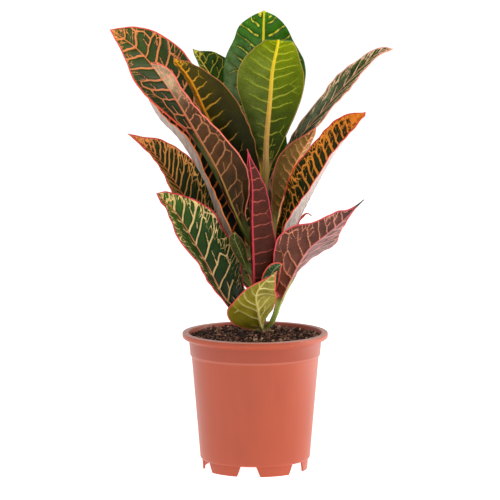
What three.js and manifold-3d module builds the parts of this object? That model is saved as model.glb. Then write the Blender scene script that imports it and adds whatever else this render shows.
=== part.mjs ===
// Potted croton: a bushy house plant with large variegated leaves, in a plain footed nursery pot of soil.
// Millimetres, +Z up, the viewer on the -Y side. The origin is on the pot's axis, level with the soles of
// its feet.
import * as THREE from "three";
import { mergeVertices } from "three/addons/utils/BufferGeometryUtils.js";
import Module from "manifold-3d";

const wasm = await Module();
wasm.setup();

// Clearance between two pieces that touch on the real plant.
const GAP = 0.3;

// Pot: a moulded shell with a flanged rim, a collar, a tapered body and six feet below a floor with drain
// holes.
// Below the rim and the collar the wall steps in over a short slope, and its edges are eased a little.
const POT = {
  height: 122.8,
  rimRadius: 65,
  rimHeight: 5.2,
  wall: 1.6,
  collarRadius: 59.2,
  collarFoot: 101.5,
  bodyTopRadius: 56.8,
  bodyFoot: 9.5,
  bodyFootRadius: 49.2,
  footRadius: 47.6,
  footSoleRadius: 47,
  feet: 6,
  firstFoot: 22.5,
  notchTop: 8.5,
  notchSole: 13.5,
  drainRadius: 4,
  drainCircle: 40,
  sides: 48,
  slope: 1.2,
  easing: 0.6,
};

// Soil: it fills the pot to just below the rim and is heaped a little round the stem.
const SOIL = { level: 119.2, heap: 2.2, bump: 0.9, slack: 0.6, corner: 2, rings: 5, sides: 32 };

// Stem: its centre line from inside the soil to the growing tip, and its radius at both ends.
const STEM = {
  path: [[6, 9, 84], [6, 8, 120], [5, 6, 160], [4, 6, 200], [5, 7, 246]],
  foot: 4.6,
  tip: 2.6,
  sides: 10,
  rings: 12,
};

// What every leaf shares. A leaf starts as a round stalk, and where a half is wider than the stalk by
// bladeFrom it is a flat blade of the full thickness. From foldFrom on, its half widths are folded by the
// whole angle. The rib stands out below, thins towards the tip by ribTaper and reaches ribReach to each side.
// Points lie at the margin, at a share inside it and at the rib. Stations along the midrib crowd towards the
// tip.
const BLADE = {
  thickness: 0.8,
  stalk: 1.7,
  tip: 0.45,
  bladeFrom: 5,
  foldFrom: 8,
  rib: 1.2,
  ribTaper: 0.6,
  ribReach: 2.2,
  inside: 0.55,
  insideNarrow: 0.75,
  stations: 18,
  tipCrowding: 1.25,
};

const GREEN_ORANGE = { color: 0x2c3f22, roughness: 0.35 };
const GREEN_YELLOW = { color: 0x35592a, roughness: 0.32 };
const OLIVE = { color: 0x6d7420, roughness: 0.4 };
const BROWN = { color: 0x4a3820, roughness: 0.42 };
const MAROON = { color: 0x5c3234, roughness: 0.4 };

// The way that a leaf's upper side looks before it is turned about its midrib.
const VIEWER = [0, -1, 0];
const AWAY = [0, 1, 0];
const SKY = [0, 0, 1];

// The leaves. at is the height on the stem where the stalk leaves it, and rib the midrib's further points.
// The upper side looks towards the side given, turned about the midrib by the angles at foot, middle and tip.
// fold is the angle of both halves up from the midrib. widths are half widths, as pairs of a share of the
// length and millimetres.
// left and right are the halves seen from above with the tip ahead; right is given where the two differ.
const LEAVES = [
  {
    name: "leaf_upper_left", at: 196, look: GREEN_ORANGE,
    rib: [[-18, -8, 237], [-34, -8, 267], [-51, -6, 298], [-76, -10, 341], [-101, -17, 374],
      [-127, -25, 394]],
    towards: VIEWER, turn: [10, 24, 35], fold: 20, wave: { height: 1.2, count: 3.5, phase: 0.1 },
    widths: [[0.2, 3], [0.42, 4], [0.52, 8], [0.62, 19], [0.7, 27], [0.78, 30], [0.86, 26], [0.93, 16],
      [0.97, 6]],
    right: [[0.2, 3], [0.4, 10], [0.55, 20], [0.65, 28], [0.75, 30], [0.85, 24], [0.92, 16], [0.97, 7]],
  },
  {
    name: "leaf_left_folded", at: 166, look: GREEN_ORANGE,
    rib: [[-29, -6, 222], [-44, -2, 259], [-66, 2, 295], [-83, 4, 313], [-96, 6, 334]],
    towards: VIEWER, turn: [75, 64, 84], fold: 40, wave: { height: 1.4, count: 3, phase: 0.4 },
    widths: [[0.12, 3], [0.25, 14], [0.4, 22], [0.55, 23], [0.7, 22], [0.85, 15], [0.94, 7]],
  },
  {
    name: "leaf_dark_front", at: 224, look: BROWN,
    rib: [[-8, -8, 262], [-22, -16, 283], [-40, -24, 315], [-55, -34, 349], [-71, -46, 371]],
    towards: AWAY, turn: [-36, -44, -28], fold: 36, wave: { height: 1, count: 3, phase: 0.2 },
    widths: [[0.12, 3], [0.2, 10], [0.35, 23], [0.45, 27], [0.55, 30], [0.65, 30], [0.75, 24], [0.85, 15],
      [0.92, 9], [0.97, 4]],
    right: [[0.12, 3], [0.2, 7], [0.35, 12], [0.5, 14], [0.65, 15], [0.75, 15], [0.85, 12], [0.92, 8],
      [0.97, 4]],
  },
  {
    name: "leaf_long_folded", at: 184, look: MAROON,
    rib: [[-16, -26, 231], [-31, -36, 269], [-45, -42, 296], [-68, -50, 336], [-90, -60, 368]],
    towards: AWAY, turn: [-30, -41, -86], fold: 45, wave: { height: 1.2, count: 3, phase: 0.6 },
    widths: [[0.12, 3], [0.25, 7], [0.35, 19], [0.45, 25], [0.55, 21], [0.65, 16], [0.75, 12], [0.85, 11],
      [0.92, 12], [0.97, 10]],
  },
  {
    name: "leaf_back_top", at: 232, look: GREEN_YELLOW,
    rib: [[6, 18, 270], [6, 27, 316], [7, 36, 362], [8, 44, 407]],
    towards: VIEWER, turn: [0, 8, 0], fold: 10, wave: { height: 1.6, count: 3, phase: 0.1 },
    widths: [[0.12, 3], [0.3, 16], [0.5, 31], [0.65, 36], [0.75, 35], [0.85, 27], [0.92, 22], [0.97, 11]],
    right: [[0.12, 3], [0.3, 16], [0.5, 32], [0.65, 38], [0.75, 37], [0.85, 27], [0.92, 20], [0.97, 11]],
  },
  {
    name: "leaf_back_small", at: 218, look: GREEN_YELLOW,
    rib: [[-8, 30, 283], [-25, 44, 324], [-45, 52, 356], [-56, 54, 372]],
    towards: VIEWER, turn: [30, 50, 45], fold: 25, wave: { height: 1, count: 2, phase: 0.3 },
    widths: [[0.12, 3], [0.4, 12], [0.6, 18], [0.75, 18], [0.85, 12], [0.92, 7], [0.97, 3]],
    right: [[0.12, 3], [0.4, 14], [0.6, 22], [0.75, 25], [0.85, 22], [0.92, 16], [0.97, 5]],
  },
  {
    name: "leaf_centre_olive", at: 228, look: OLIVE,
    rib: [[9, -9, 262], [10, -12, 296], [13, -22, 332], [15, -34, 359], [19, -48, 380], [20, -64, 388]],
    towards: AWAY, turn: [-10, 0, 0], fold: 10, wave: { height: 0.8, count: 2.5, phase: 0.2 },
    widths: [[0.12, 3], [0.25, 4], [0.35, 12], [0.45, 19], [0.55, 25], [0.65, 29], [0.75, 28], [0.85, 21],
      [0.92, 15], [0.97, 9]],
    right: [[0.12, 3], [0.25, 4], [0.35, 10], [0.45, 16], [0.55, 24], [0.65, 30], [0.75, 29], [0.85, 20],
      [0.92, 13], [0.97, 8]],
  },
  {
    name: "leaf_right_top", at: 206, look: GREEN_ORANGE,
    rib: [[33, 24, 283], [66, 35, 324], [91, 42, 352], [112, 48, 370], [124, 51, 372]],
    towards: VIEWER, turn: [-60, -62, -55], fold: 14, wave: { height: 1.2, count: 4, phase: 0.5 },
    widths: [[0.1, 5], [0.2, 10], [0.3, 12], [0.4, 10], [0.5, 10], [0.6, 14], [0.7, 14], [0.8, 12],
      [0.88, 9], [0.94, 5], [0.98, 2]],
    right: [[0.1, 5], [0.2, 7], [0.3, 8], [0.4, 10], [0.5, 15], [0.6, 17], [0.7, 15], [0.8, 11], [0.88, 9],
      [0.94, 6], [0.98, 3]],
  },
  {
    name: "leaf_right_brown", at: 150, look: BROWN,
    rib: [[16, 12, 193], [20, 7, 227], [25, 3, 246], [32, 1, 267], [41, 1, 284], [54, 2, 306]],
    towards: AWAY, turn: [40, 40, 20], fold: 38, wave: { height: 1, count: 2.5, phase: 0.1 },
    widths: [[0.08, 3], [0.4, 4], [0.5, 7], [0.6, 12], [0.7, 15], [0.8, 15], [0.88, 11], [0.94, 5],
      [0.98, 2]],
  },
  {
    name: "leaf_right_mid", at: 160, look: GREEN_ORANGE,
    rib: [[37, -16, 225], [59, -20, 268], [76, -19, 295], [97, -16, 321]],
    towards: VIEWER, turn: [-100, -74, -60], fold: 32, wave: { height: 1, count: 3, phase: 0.7 },
    widths: [[0.12, 3], [0.2, 11], [0.35, 23], [0.45, 28], [0.55, 29], [0.65, 27], [0.75, 24], [0.85, 20],
      [0.92, 15], [0.97, 7]],
  },
  {
    name: "leaf_right_low", at: 122, look: MAROON,
    rib: [[11, 7, 126], [16, 2, 133], [22, -7, 151], [31, -21, 173], [39, -30, 190], [48, -38, 204],
      [61, -48, 216], [76, -58, 230], [94, -66, 249]],
    towards: AWAY, turn: [45, 38, 15], fold: 22, wave: { height: 1.4, count: 3, phase: 0.3 },
    widths: [[0.06, 3], [0.3, 4], [0.4, 8], [0.48, 17], [0.57, 27], [0.66, 24], [0.75, 13], [0.85, 4],
      [0.92, 1]],
    right: [[0.06, 3], [0.2, 4], [0.3, 12], [0.38, 18], [0.47, 24], [0.57, 28], [0.66, 22], [0.75, 15],
      [0.85, 10], [0.92, 3]],
  },
  {
    name: "leaf_front_purple", at: 140, look: MAROON,
    rib: [[0, -22, 165], [-1, -31, 191], [-2, -38, 228], [-2, -41, 259], [-5, -42, 282], [-7, -44, 291]],
    towards: AWAY, turn: [-36, -37, -30], fold: 45, wave: { height: 0.8, count: 3, phase: 0.2 },
    widths: [[0.12, 3], [0.25, 10], [0.34, 16], [0.43, 19], [0.52, 20], [0.62, 18], [0.71, 15], [0.8, 11],
      [0.88, 6], [0.93, 3], [0.97, 1]],
    right: [[0.12, 3], [0.25, 8], [0.34, 12], [0.43, 14], [0.52, 14], [0.62, 13], [0.71, 12], [0.8, 9],
      [0.88, 5], [0.93, 3], [0.97, 1]],
  },
  {
    name: "leaf_front_low", at: 125, look: OLIVE,
    rib: [[4, -8, 131], [2, -24, 147], [1, -36, 161], [7, -44, 172], [19, -48, 184]],
    towards: AWAY, turn: [20, 10, -40], fold: 20, wave: { height: 0.6, count: 2, phase: 0.2 },
    widths: [[0.07, 6], [0.14, 12], [0.22, 16], [0.3, 18], [0.42, 21], [0.55, 21], [0.7, 19], [0.85, 12],
      [0.95, 4]],
    right: [[0.08, 4], [0.15, 11], [0.25, 22], [0.35, 27], [0.45, 26], [0.55, 20], [0.65, 11], [0.8, 4],
      [0.92, 1]],
  },
  {
    name: "leaf_left_mid", at: 152, look: GREEN_ORANGE,
    rib: [[-40, 12, 208], [-65, 12, 246], [-88, 9, 280], [-113, 4, 300]],
    towards: VIEWER, turn: [45, 48, 48], fold: 30, wave: { height: 1.4, count: 3.5, phase: 0.8 },
    widths: [[0.12, 3], [0.3, 13], [0.45, 20], [0.55, 22], [0.65, 22], [0.75, 18], [0.85, 10], [0.92, 3],
      [0.97, 1]],
    right: [[0.12, 3], [0.3, 13], [0.45, 20], [0.55, 24], [0.65, 26], [0.75, 24], [0.85, 15], [0.92, 7],
      [0.97, 3]],
  },
  {
    name: "leaf_left_low", at: 130, look: GREEN_YELLOW,
    rib: [[-24, -8, 151], [-44, -16, 188], [-68, -22, 230], [-87, -24, 250]],
    towards: VIEWER, turn: [62, 54, 42], fold: 28, wave: { height: 1.6, count: 3.5, phase: 0.4 },
    widths: [[0.08, 3], [0.15, 7], [0.25, 13], [0.35, 19], [0.45, 24], [0.55, 27], [0.65, 31], [0.75, 30],
      [0.85, 22], [0.92, 9], [0.97, 3]],
    right: [[0.08, 3], [0.15, 16], [0.25, 25], [0.35, 29], [0.45, 31], [0.55, 32], [0.65, 31], [0.75, 28],
      [0.85, 20], [0.92, 12], [0.97, 7]],
  },
  {
    name: "leaf_small_green", at: 131, look: GREEN_YELLOW, stations: 12,
    rib: [[12, -8, 148], [13, -28, 171], [15, -36, 181], [19, -42, 187], [24, -45, 190]],
    towards: VIEWER, turn: [20, 10, 0], fold: 10, wave: { height: 0.6, count: 2, phase: 0 },
    widths: [[0.3, 2], [0.5, 5], [0.7, 8], [0.88, 6], [0.96, 3]],
  },
  {
    name: "leaf_small_olive", at: 158, look: OLIVE, stations: 12,
    rib: [[-8, -12, 184], [-14, -18, 199], [-18, -23, 209], [-18, -25, 216]],
    towards: AWAY, turn: [0, 0, 0], fold: 15, wave: { height: 0.4, count: 2, phase: 0 },
    widths: [[0.4, 2], [0.55, 4], [0.7, 6], [0.85, 6], [0.94, 4]],
  },
  {
    name: "leaf_small_red", at: 144, look: MAROON, stations: 14,
    rib: [[16, 2, 168], [29, -3, 199], [37, -5, 221], [42, -5, 227], [46, -6, 230], [50, -7, 228]],
    towards: VIEWER, turn: [-30, -20, 0], fold: 15, wave: { height: 0.4, count: 2, phase: 0 },
    widths: [[0.3, 3], [0.5, 6], [0.7, 5], [0.82, 2], [0.92, 1]],
  },
  {
    name: "leaf_rear_left", at: 168, look: GREEN_ORANGE, stations: 14,
    rib: [[-14, 36, 226], [-24, 54, 276], [-31, 66, 306]],
    towards: VIEWER, turn: [20, 20, 20], fold: 14, wave: { height: 1.4, count: 3, phase: 0.2 },
    widths: [[0.15, 3], [0.35, 16], [0.55, 24], [0.75, 20], [0.9, 9]],
  },
  {
    name: "leaf_rear_mid", at: 184, look: GREEN_YELLOW, stations: 14,
    rib: [[6, 36, 262], [8, 56, 310], [13, 68, 346]],
    towards: VIEWER, turn: [0, 0, 0], fold: 12, wave: { height: 1.4, count: 3, phase: 0.6 },
    widths: [[0.15, 3], [0.35, 16], [0.55, 23], [0.75, 19], [0.9, 9]],
  },
  {
    name: "leaf_rear_low_left", at: 142, look: GREEN_ORANGE, stations: 14,
    rib: [[-4, 30, 166], [-12, 52, 186], [-18, 70, 190]],
    towards: SKY, turn: [0, 0, 0], fold: 14, wave: { height: 1.4, count: 3, phase: 0.4 },
    widths: [[0.2, 3], [0.4, 15], [0.6, 20], [0.8, 15], [0.92, 7]],
  },
  {
    name: "leaf_rear_low_right", at: 148, look: GREEN_YELLOW, stations: 14,
    rib: [[18, 28, 176], [28, 50, 200], [36, 68, 208]],
    towards: SKY, turn: [0, 0, 0], fold: 14, wave: { height: 1.4, count: 3, phase: 0.1 },
    widths: [[0.2, 3], [0.4, 15], [0.6, 20], [0.8, 15], [0.92, 7]],
  },
];

const vector = (p) => new THREE.Vector3(...p);
const radians = THREE.MathUtils.degToRad;
const lerp = THREE.MathUtils.lerp;

// A closed mesh as a manifold-3d solid.
function solidOf(geometry) {
  const bare = new THREE.BufferGeometry().setAttribute("position", geometry.getAttribute("position"));
  if (geometry.index) bare.setIndex(geometry.index);
  const merged = mergeVertices(bare, 1e-4);
  return new wasm.Manifold(
    new wasm.Mesh({
      numProp: 3,
      vertProperties: new Float32Array(merged.attributes.position.array),
      triVerts: new Uint32Array(merged.index.array),
    }),
  );
}

// The largest body of a solid as a geometry that three.js can draw.
function geometryOf(solid) {
  const bodies = solid.decompose();
  const body = bodies.reduce((a, b) => (b.volume() > a.volume() ? b : a));
  const mesh = body.getMesh();
  const position = new THREE.BufferAttribute(new Float32Array(mesh.vertProperties), 3);
  const geometry = new THREE.BufferGeometry().setAttribute("position", position);
  geometry.setIndex(new THREE.BufferAttribute(new Uint32Array(mesh.triVerts), 1));
  geometry.computeVertexNormals();
  return geometry;
}

// The walls between closed loops of points that all have the same count, as flat positions and faces.
function skinOf(loops) {
  const count = loops[0].length;
  const positions = loops.flat().flatMap((p) => [p.x, p.y, p.z]);
  const faces = [];
  for (let i = 0; i + 1 < loops.length; i++) {
    for (let j = 0; j < count; j++) {
      const a = i * count + j;
      const b = i * count + ((j + 1) % count);
      faces.push(a, b, b + count, a, b + count, a + count);
    }
  }
  return { positions, faces };
}

// A solid from flat positions and faces, turned so that its faces look outward.
function solidFrom(positions, faces) {
  const geometry = new THREE.BufferGeometry();
  geometry.setAttribute("position", new THREE.Float32BufferAttribute(positions, 3));
  geometry.setIndex(faces);
  const solid = solidOf(geometry);
  return solid.volume() < 0 ? solidFrom(positions, faces.reverse()) : solid;
}

// The stem, grown by a clearance where it cuts its way through soil and leaf stalks.
const stemCurve = new THREE.CatmullRomCurve3(STEM.path.map(vector), false, "catmullrom", 0.5);

function stemSolid(clearance) {
  const loops = [];
  for (let i = 0; i <= STEM.rings; i++) {
    const u = i / STEM.rings;
    const centre = stemCurve.getPoint(u);
    const radius = lerp(STEM.foot, STEM.tip, u) + clearance;
    if (clearance && i === STEM.rings) centre.z += clearance;
    if (clearance && i === 0) centre.z -= clearance;
    loops.push(
      Array.from({ length: STEM.sides }, (_, j) => {
        const turn = (2 * Math.PI * j) / STEM.sides;
        const spoke = new THREE.Vector3(Math.cos(turn), Math.sin(turn), 0);
        return centre.clone().addScaledVector(spoke, radius);
      }),
    );
  }
  const { positions, faces } = skinOf(loops);
  const top = STEM.rings * STEM.sides;
  for (let j = 1; j + 1 < STEM.sides; j++) {
    faces.push(0, j + 1, j, top, top + j, top + j + 1);
  }
  return solidFrom(positions, faces);
}

// The point of the stem's centre line at a height.
function stemAt(height) {
  let low = 0;
  let high = 1;
  for (let i = 0; i < 30; i++) {
    const middle = (low + high) / 2;
    if (stemCurve.getPoint(middle).z < height) low = middle;
    else high = middle;
  }
  return stemCurve.getPoint((low + high) / 2);
}

// A value that runs smoothly through three others, at the foot, the middle and the tip of a leaf.
function through([foot, middle, tip], u) {
  return foot * (1 - u) * (1 - 2 * u) + middle * 4 * u * (1 - u) + tip * u * (2 * u - 1);
}

// A smooth curve through [place, value] pairs that starts and ends at zero.
function smooth(pairs, u) {
  const all = [[0, 0], ...pairs, [1, 0]];
  const i = Math.min(all.findLastIndex(([place]) => place <= u), all.length - 2);
  const slope = (k) => {
    const [before, after] = [all[Math.max(0, k - 1)], all[Math.min(all.length - 1, k + 1)]];
    return (after[1] - before[1]) / (after[0] - before[0]);
  };
  const [[x0, y0], [x1, y1]] = [all[i], all[i + 1]];
  const step = x1 - x0;
  const t = (u - x0) / step;
  const rising = t * t * (3 - 2 * t);
  return y0 + (y1 - y0) * rising + slope(i) * step * t * (1 - t) ** 2 - slope(i + 1) * step * t * t * (1 - t);
}

// One leaf as a solid: a stalk that widens into a blade, folded at the midrib and waved at its margins.
// Each station along the midrib carries the same row of points on the upper side and on the lower side.
function leafSolid(leaf) {
  const points = [stemAt(leaf.at), ...leaf.rib.map(vector)];
  const rib = new THREE.CatmullRomCurve3(points, false, "catmullrom", 0.5);
  const halves = [
    { sign: -1, widths: leaf.widths, places: ["margin", "inside", "rib"] },
    { sign: 1, widths: leaf.right ?? leaf.widths, places: ["middle", "rib", "inside", "margin"] },
  ];
  const widest = Math.max(...leaf.widths.map(([, width]) => width));
  const stations = leaf.stations ?? BLADE.stations;
  const loops = [];
  for (let i = 0; i <= stations; i++) {
    const u = 1 - Math.pow(1 - i / stations, BLADE.tipCrowding);
    const origin = rib.getPointAt(u);
    const ahead = rib.getTangentAt(u);
    const up = vector(leaf.towards);
    up.addScaledVector(ahead, -up.dot(ahead)).normalize();
    up.applyAxisAngle(ahead, radians(through(leaf.turn, u)));
    const side = new THREE.Vector3().crossVectors(ahead, up);
    const stalk = lerp(BLADE.stalk, BLADE.tip, u);
    const upper = [];
    const lower = [];
    for (const { sign, widths, places } of halves) {
      const width = Math.max(stalk, smooth(widths, u));
      const fold = radians(leaf.fold) * Math.min(1, width / BLADE.foldFrom);
      const blade = THREE.MathUtils.clamp((width - stalk) / BLADE.bladeFrom, 0, 1);
      const sway = Math.sin(2 * Math.PI * (leaf.wave.count * u + leaf.wave.phase + sign / 4));
      const shares = {
        middle: 0,
        rib: Math.min(0.5, BLADE.ribReach / width),
        inside: width < BLADE.bladeFrom ? BLADE.insideNarrow : BLADE.inside,
        margin: 1,
      };
      for (const place of places) {
        const q = shares[place];
        const out = width * q;
        const rise = out * Math.sin(fold) + (leaf.wave.height * sway * q * out) / widest;
        const round = stalk * (1 - 0.7 * q * q);
        const ridge = place === "middle" ? BLADE.rib * (1 - BLADE.ribTaper * u) : 0;
        const above = lerp(round, BLADE.thickness / 2, blade);
        const below = lerp(round, BLADE.thickness / 2 + ridge, blade);
        const normal = up.clone().multiplyScalar(Math.cos(fold));
        normal.addScaledVector(side, -sign * Math.sin(fold));
        const middle = origin.clone().addScaledVector(side, sign * out * Math.cos(fold));
        middle.addScaledVector(up, rise);
        upper.push(middle.clone().addScaledVector(normal, above));
        lower.push(middle.clone().addScaledVector(normal, -below));
      }
    }
    loops.push([...upper, ...lower.reverse()]);
  }
  const { positions, faces } = skinOf(loops);
  const across = loops[0].length / 2;
  const last = (loops.length - 1) * across * 2;
  for (let j = 0; j + 1 < across; j++) {
    const [a, b, c, d] = [j, j + 1, 2 * across - 2 - j, 2 * across - 1 - j];
    faces.push(a, d, c, a, c, b);
    faces.push(last + a, last + c, last + d, last + a, last + b, last + c);
  }
  return solidFrom(positions, faces);
}

// A solid of revolution about +Z from a closed outline of [radius, height] points.
function turned(outline, sides) {
  const points = [...outline, outline[0]].map(([r, z]) => new THREE.Vector2(r, z));
  const geometry = new THREE.LatheGeometry(points, sides).rotateX(Math.PI / 2);
  return solidFrom([...geometry.getAttribute("position").array], [...geometry.index.array]);
}

// The radius of the body's outer face at a height, above the body's foot.
function bodyRadius(z) {
  return lerp(POT.bodyFootRadius, POT.bodyTopRadius, (z - POT.bodyFoot) / (POT.collarFoot - POT.bodyFoot));
}

function potSolid() {
  const { wall, height, rimRadius, rimHeight, slope, easing } = POT;
  const { collarRadius, collarFoot, bodyFoot, bodyFootRadius } = POT;
  const rimFoot = height - rimHeight;
  const neck = bodyRadius(collarFoot);
  let pot = turned(
    [
      [0, bodyFoot],
      [POT.footRadius - wall, bodyFoot],
      [POT.footSoleRadius - wall, 0],
      [POT.footSoleRadius, 0],
      [POT.footRadius, bodyFoot - easing],
      [bodyFootRadius - easing, bodyFoot],
      [bodyFootRadius, bodyFoot + slope],
      [neck, collarFoot - easing],
      [collarRadius - slope, collarFoot + slope],
      [collarRadius, rimFoot - 2 * slope],
      [rimRadius - slope, rimFoot],
      [rimRadius, rimFoot + slope],
      [rimRadius, height - easing],
      [rimRadius - easing, height],
      [collarRadius + easing, height],
      [collarRadius, height - slope],
      [collarRadius - wall, rimFoot - 2 * slope],
      [collarRadius - slope - wall, collarFoot + slope],
      [neck - wall, collarFoot - easing],
      [bodyFootRadius - wall, bodyFoot + wall + slope],
      [bodyFootRadius - wall - slope, bodyFoot + wall],
      [0, bodyFoot + wall],
    ],
    POT.sides,
  );
  for (let i = 0; i < POT.feet; i++) {
    const bearing = radians(POT.firstFoot + (360 * (i + 0.5)) / POT.feet);
    pot = pot.subtract(notchSolid(bearing)).subtract(drainSolid(bearing, POT.drainCircle));
  }
  return pot.subtract(drainSolid(0, 0));
}

// The wedge between two feet: wider at the sole than at its top, and short of the floor by GAP.
// A bearing is measured from the front of the pot towards +X.
function notchSolid(bearing) {
  const [near, far] = [POT.footSoleRadius - 6, POT.footRadius + 4];
  const corners = [];
  const levels = [[-1, radians(POT.notchSole)], [POT.bodyFoot - GAP, radians(POT.notchTop)]];
  for (const [z, halfAngle] of levels) {
    for (const [r, side] of [[near, -1], [far, -1], [far, 1], [near, 1]]) {
      const angle = bearing + side * halfAngle;
      corners.push(r * Math.sin(angle), -r * Math.cos(angle), z);
    }
  }
  const sides = [0, 1, 5, 0, 5, 4, 1, 2, 6, 1, 6, 5, 2, 3, 7, 2, 7, 6, 3, 0, 4, 3, 4, 7];
  const ends = [4, 5, 6, 4, 6, 7, 0, 2, 1, 0, 3, 2];
  return solidFrom(corners, [...sides, ...ends]);
}

// A drain hole through the floor.
function drainSolid(bearing, r) {
  const hole = new THREE.CylinderGeometry(POT.drainRadius, POT.drainRadius, 3 * POT.wall, 10);
  hole.rotateX(Math.PI / 2);
  hole.translate(r * Math.sin(bearing), -r * Math.cos(bearing), POT.bodyFoot + POT.wall / 2);
  return solidOf(hole);
}

// The soil's upper face: a low heap with lumps that a sum of waves gives.
function soilHeight(x, y) {
  const r = Math.hypot(x, y) / POT.collarRadius;
  const lumps = Math.sin(0.31 * x + 0.7) * Math.cos(0.27 * y) + 0.6 * Math.sin(0.53 * y - 0.4 * x + 1.9);
  return SOIL.level + SOIL.heap * (1 - r * r) + SOIL.bump * lumps * (1 - 0.6 * r);
}

// A horizontal loop whose height is a number, or a function of the place.
function circle(r, height) {
  return Array.from({ length: SOIL.sides }, (_, j) => {
    const turn = (2 * Math.PI * j) / SOIL.sides;
    const [x, y] = [r * Math.cos(turn), r * Math.sin(turn)];
    return new THREE.Vector3(x, y, typeof height === "number" ? height : height(x, y));
  });
}

// The soil follows the pot's inner wall at a distance, and the stem stands in a plain hole in it.
function soilSolid(stemHole) {
  const floor = POT.bodyFoot + POT.wall + GAP;
  const neck = POT.collarFoot - SOIL.corner;
  const inBody = (z) => bodyRadius(z) - POT.wall - SOIL.slack;
  const inCollar = POT.collarRadius - POT.wall - SOIL.slack;
  const loops = [
    circle(inBody(floor) - SOIL.corner, floor),
    circle(inBody(floor), floor + SOIL.corner),
    circle(inBody(neck), neck),
    circle(inCollar - SOIL.corner, POT.collarFoot + SOIL.corner),
  ];
  for (let i = 0; i <= SOIL.rings; i++) {
    loops.push(circle(inCollar * (1 - i / (SOIL.rings + 1)), soilHeight));
  }
  const { positions, faces } = skinOf(loops);
  const underside = positions.length / 3;
  const last = underside - SOIL.sides;
  positions.push(0, 0, floor, 0, 0, soilHeight(0, 0));
  for (let j = 0; j < SOIL.sides; j++) {
    const next = (j + 1) % SOIL.sides;
    faces.push(underside, next, j, underside + 1, last + j, last + next);
  }
  return solidFrom(positions, faces).subtract(stemHole);
}

function piece(name, solid, look) {
  const mesh = new THREE.Mesh(geometryOf(solid), new THREE.MeshStandardMaterial({ metalness: 0, ...look }));
  mesh.name = name;
  return mesh;
}

const croton = new THREE.Group();
const stemHole = stemSolid(GAP);
croton.add(piece("pot", potSolid(), { color: 0xc4603f, roughness: 0.45 }));
croton.add(piece("soil", soilSolid(stemHole), { color: 0x2b1d18, roughness: 0.95 }));
croton.add(piece("stem", stemSolid(0), { color: 0x8a9a4e, roughness: 0.6 }));
for (const leaf of LEAVES) {
  croton.add(piece(leaf.name, leafSolid(leaf).subtract(stemHole), leaf.look));
}

export default croton;
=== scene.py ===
"""Potted croton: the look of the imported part.

Metres, +Z up, the viewer on the -Y side. Leaves, stem, soil and pot are modelled again in the places of
their solids, with their veins, relief and edges.
"""

import math
import random

import bmesh
import bpy
import numpy as np
from mathutils import Matrix, Vector, noise


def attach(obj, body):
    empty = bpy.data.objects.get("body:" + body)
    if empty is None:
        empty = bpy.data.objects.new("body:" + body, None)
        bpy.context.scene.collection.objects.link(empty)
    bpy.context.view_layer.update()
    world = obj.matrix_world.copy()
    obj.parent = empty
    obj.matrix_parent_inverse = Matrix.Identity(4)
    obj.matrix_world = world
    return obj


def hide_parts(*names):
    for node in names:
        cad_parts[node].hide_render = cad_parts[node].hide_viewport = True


bl_info = {
    "name": "Potted croton",
    "version": (1, 0, 0),
    "blender": (4, 5, 0),
    "location": "View3D > Sidebar > Croton",
    "description": "A bushy croton with variegated leaves in a terracotta-coloured nursery pot",
    "category": "Add Mesh",
}

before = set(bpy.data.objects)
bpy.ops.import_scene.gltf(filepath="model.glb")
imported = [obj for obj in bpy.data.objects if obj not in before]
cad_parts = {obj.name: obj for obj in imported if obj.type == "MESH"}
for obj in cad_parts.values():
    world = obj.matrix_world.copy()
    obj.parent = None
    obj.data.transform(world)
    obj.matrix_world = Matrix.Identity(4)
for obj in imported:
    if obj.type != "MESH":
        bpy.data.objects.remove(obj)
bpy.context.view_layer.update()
MM = 0.001

# The stem's centre line, and its radius at the foot and at the growing tip, in millimetres. Each leaf's scar
# is turned on from the last one's by SCAR_TURN, in radians, and FALLEN are the heights and turns of two more
# scars.
STEM_PATH = [(6, 9, 84), (6, 8, 120), (5, 6, 160), (4, 6, 200), (5, 7, 246)]
STEM_FOOT, STEM_TIP = 4.6, 2.6
SCAR_TURN = 2.4
FALLEN = [(126, 1.0), (131, 4.2)]

# A leaf's least half width at its foot and its tip, and how its points crowd to the tip and the midrib.
STALK_FOOT, STALK_TIP = 1.7, 0.45
CROWDING = 1.15

# The pot's section as (radius, height) in millimetres: its feet, its outside up to the rim and its inside.
POT_FEET = [(0.0, 9.5), (46.0, 9.5), (45.4, 0.0), (47.0, 0.0)]
POT_OUTSIDE = [(47.6, 8.9), (48.6, 9.5), (49.2, 10.7), (56.8, 100.9), (58.0, 102.7), (59.2, 115.2),
               (60.4, 116.6), (63.8, 117.6), (65.0, 118.8), (65.0, 122.2), (64.4, 122.8)]
POT_INSIDE = [(59.8, 122.8), (59.2, 121.6), (57.6, 115.2), (56.4, 102.7), (55.2, 100.9), (47.6, 12.3),
              (46.4, 11.1), (0.0, 11.1)]

# The feet and the bearing of the first, in degrees. The notches between them: half their angle at the top and
# the sole, their height and the radii that they are cut between. The drain holes: the radius of their ring,
# their own radius, and the depth and the middle height of the cut.
FEET, FIRST_FOOT = 6, 22.5
NOTCH_TOP, NOTCH_SOLE = 8.5, 13.5
NOTCH_HEIGHT, NOTCH_INSIDE, NOTCH_OUTSIDE = 9.2, 41, 52
DRAIN_RING, DRAIN_RADIUS, DRAIN_DEPTH, DRAIN_HEIGHT = 40, 4, 6, 10.3

# Painted shade for the collar and a painted highlight for the rim's top and the collar's foot, peat from wet
# to dry, bark, cork and withered leaf.
COLLAR_SHADE, PAINTED_HIGHLIGHT = "#8c3018", "#dcb4a8"
PEAT = "#1c100c #502f24 #8e6250 #c8a480"
BARK = "#4c4a22 #8a8a4a"
CORK = "#b08a5c"
WITHERED = "#34241a"

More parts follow.
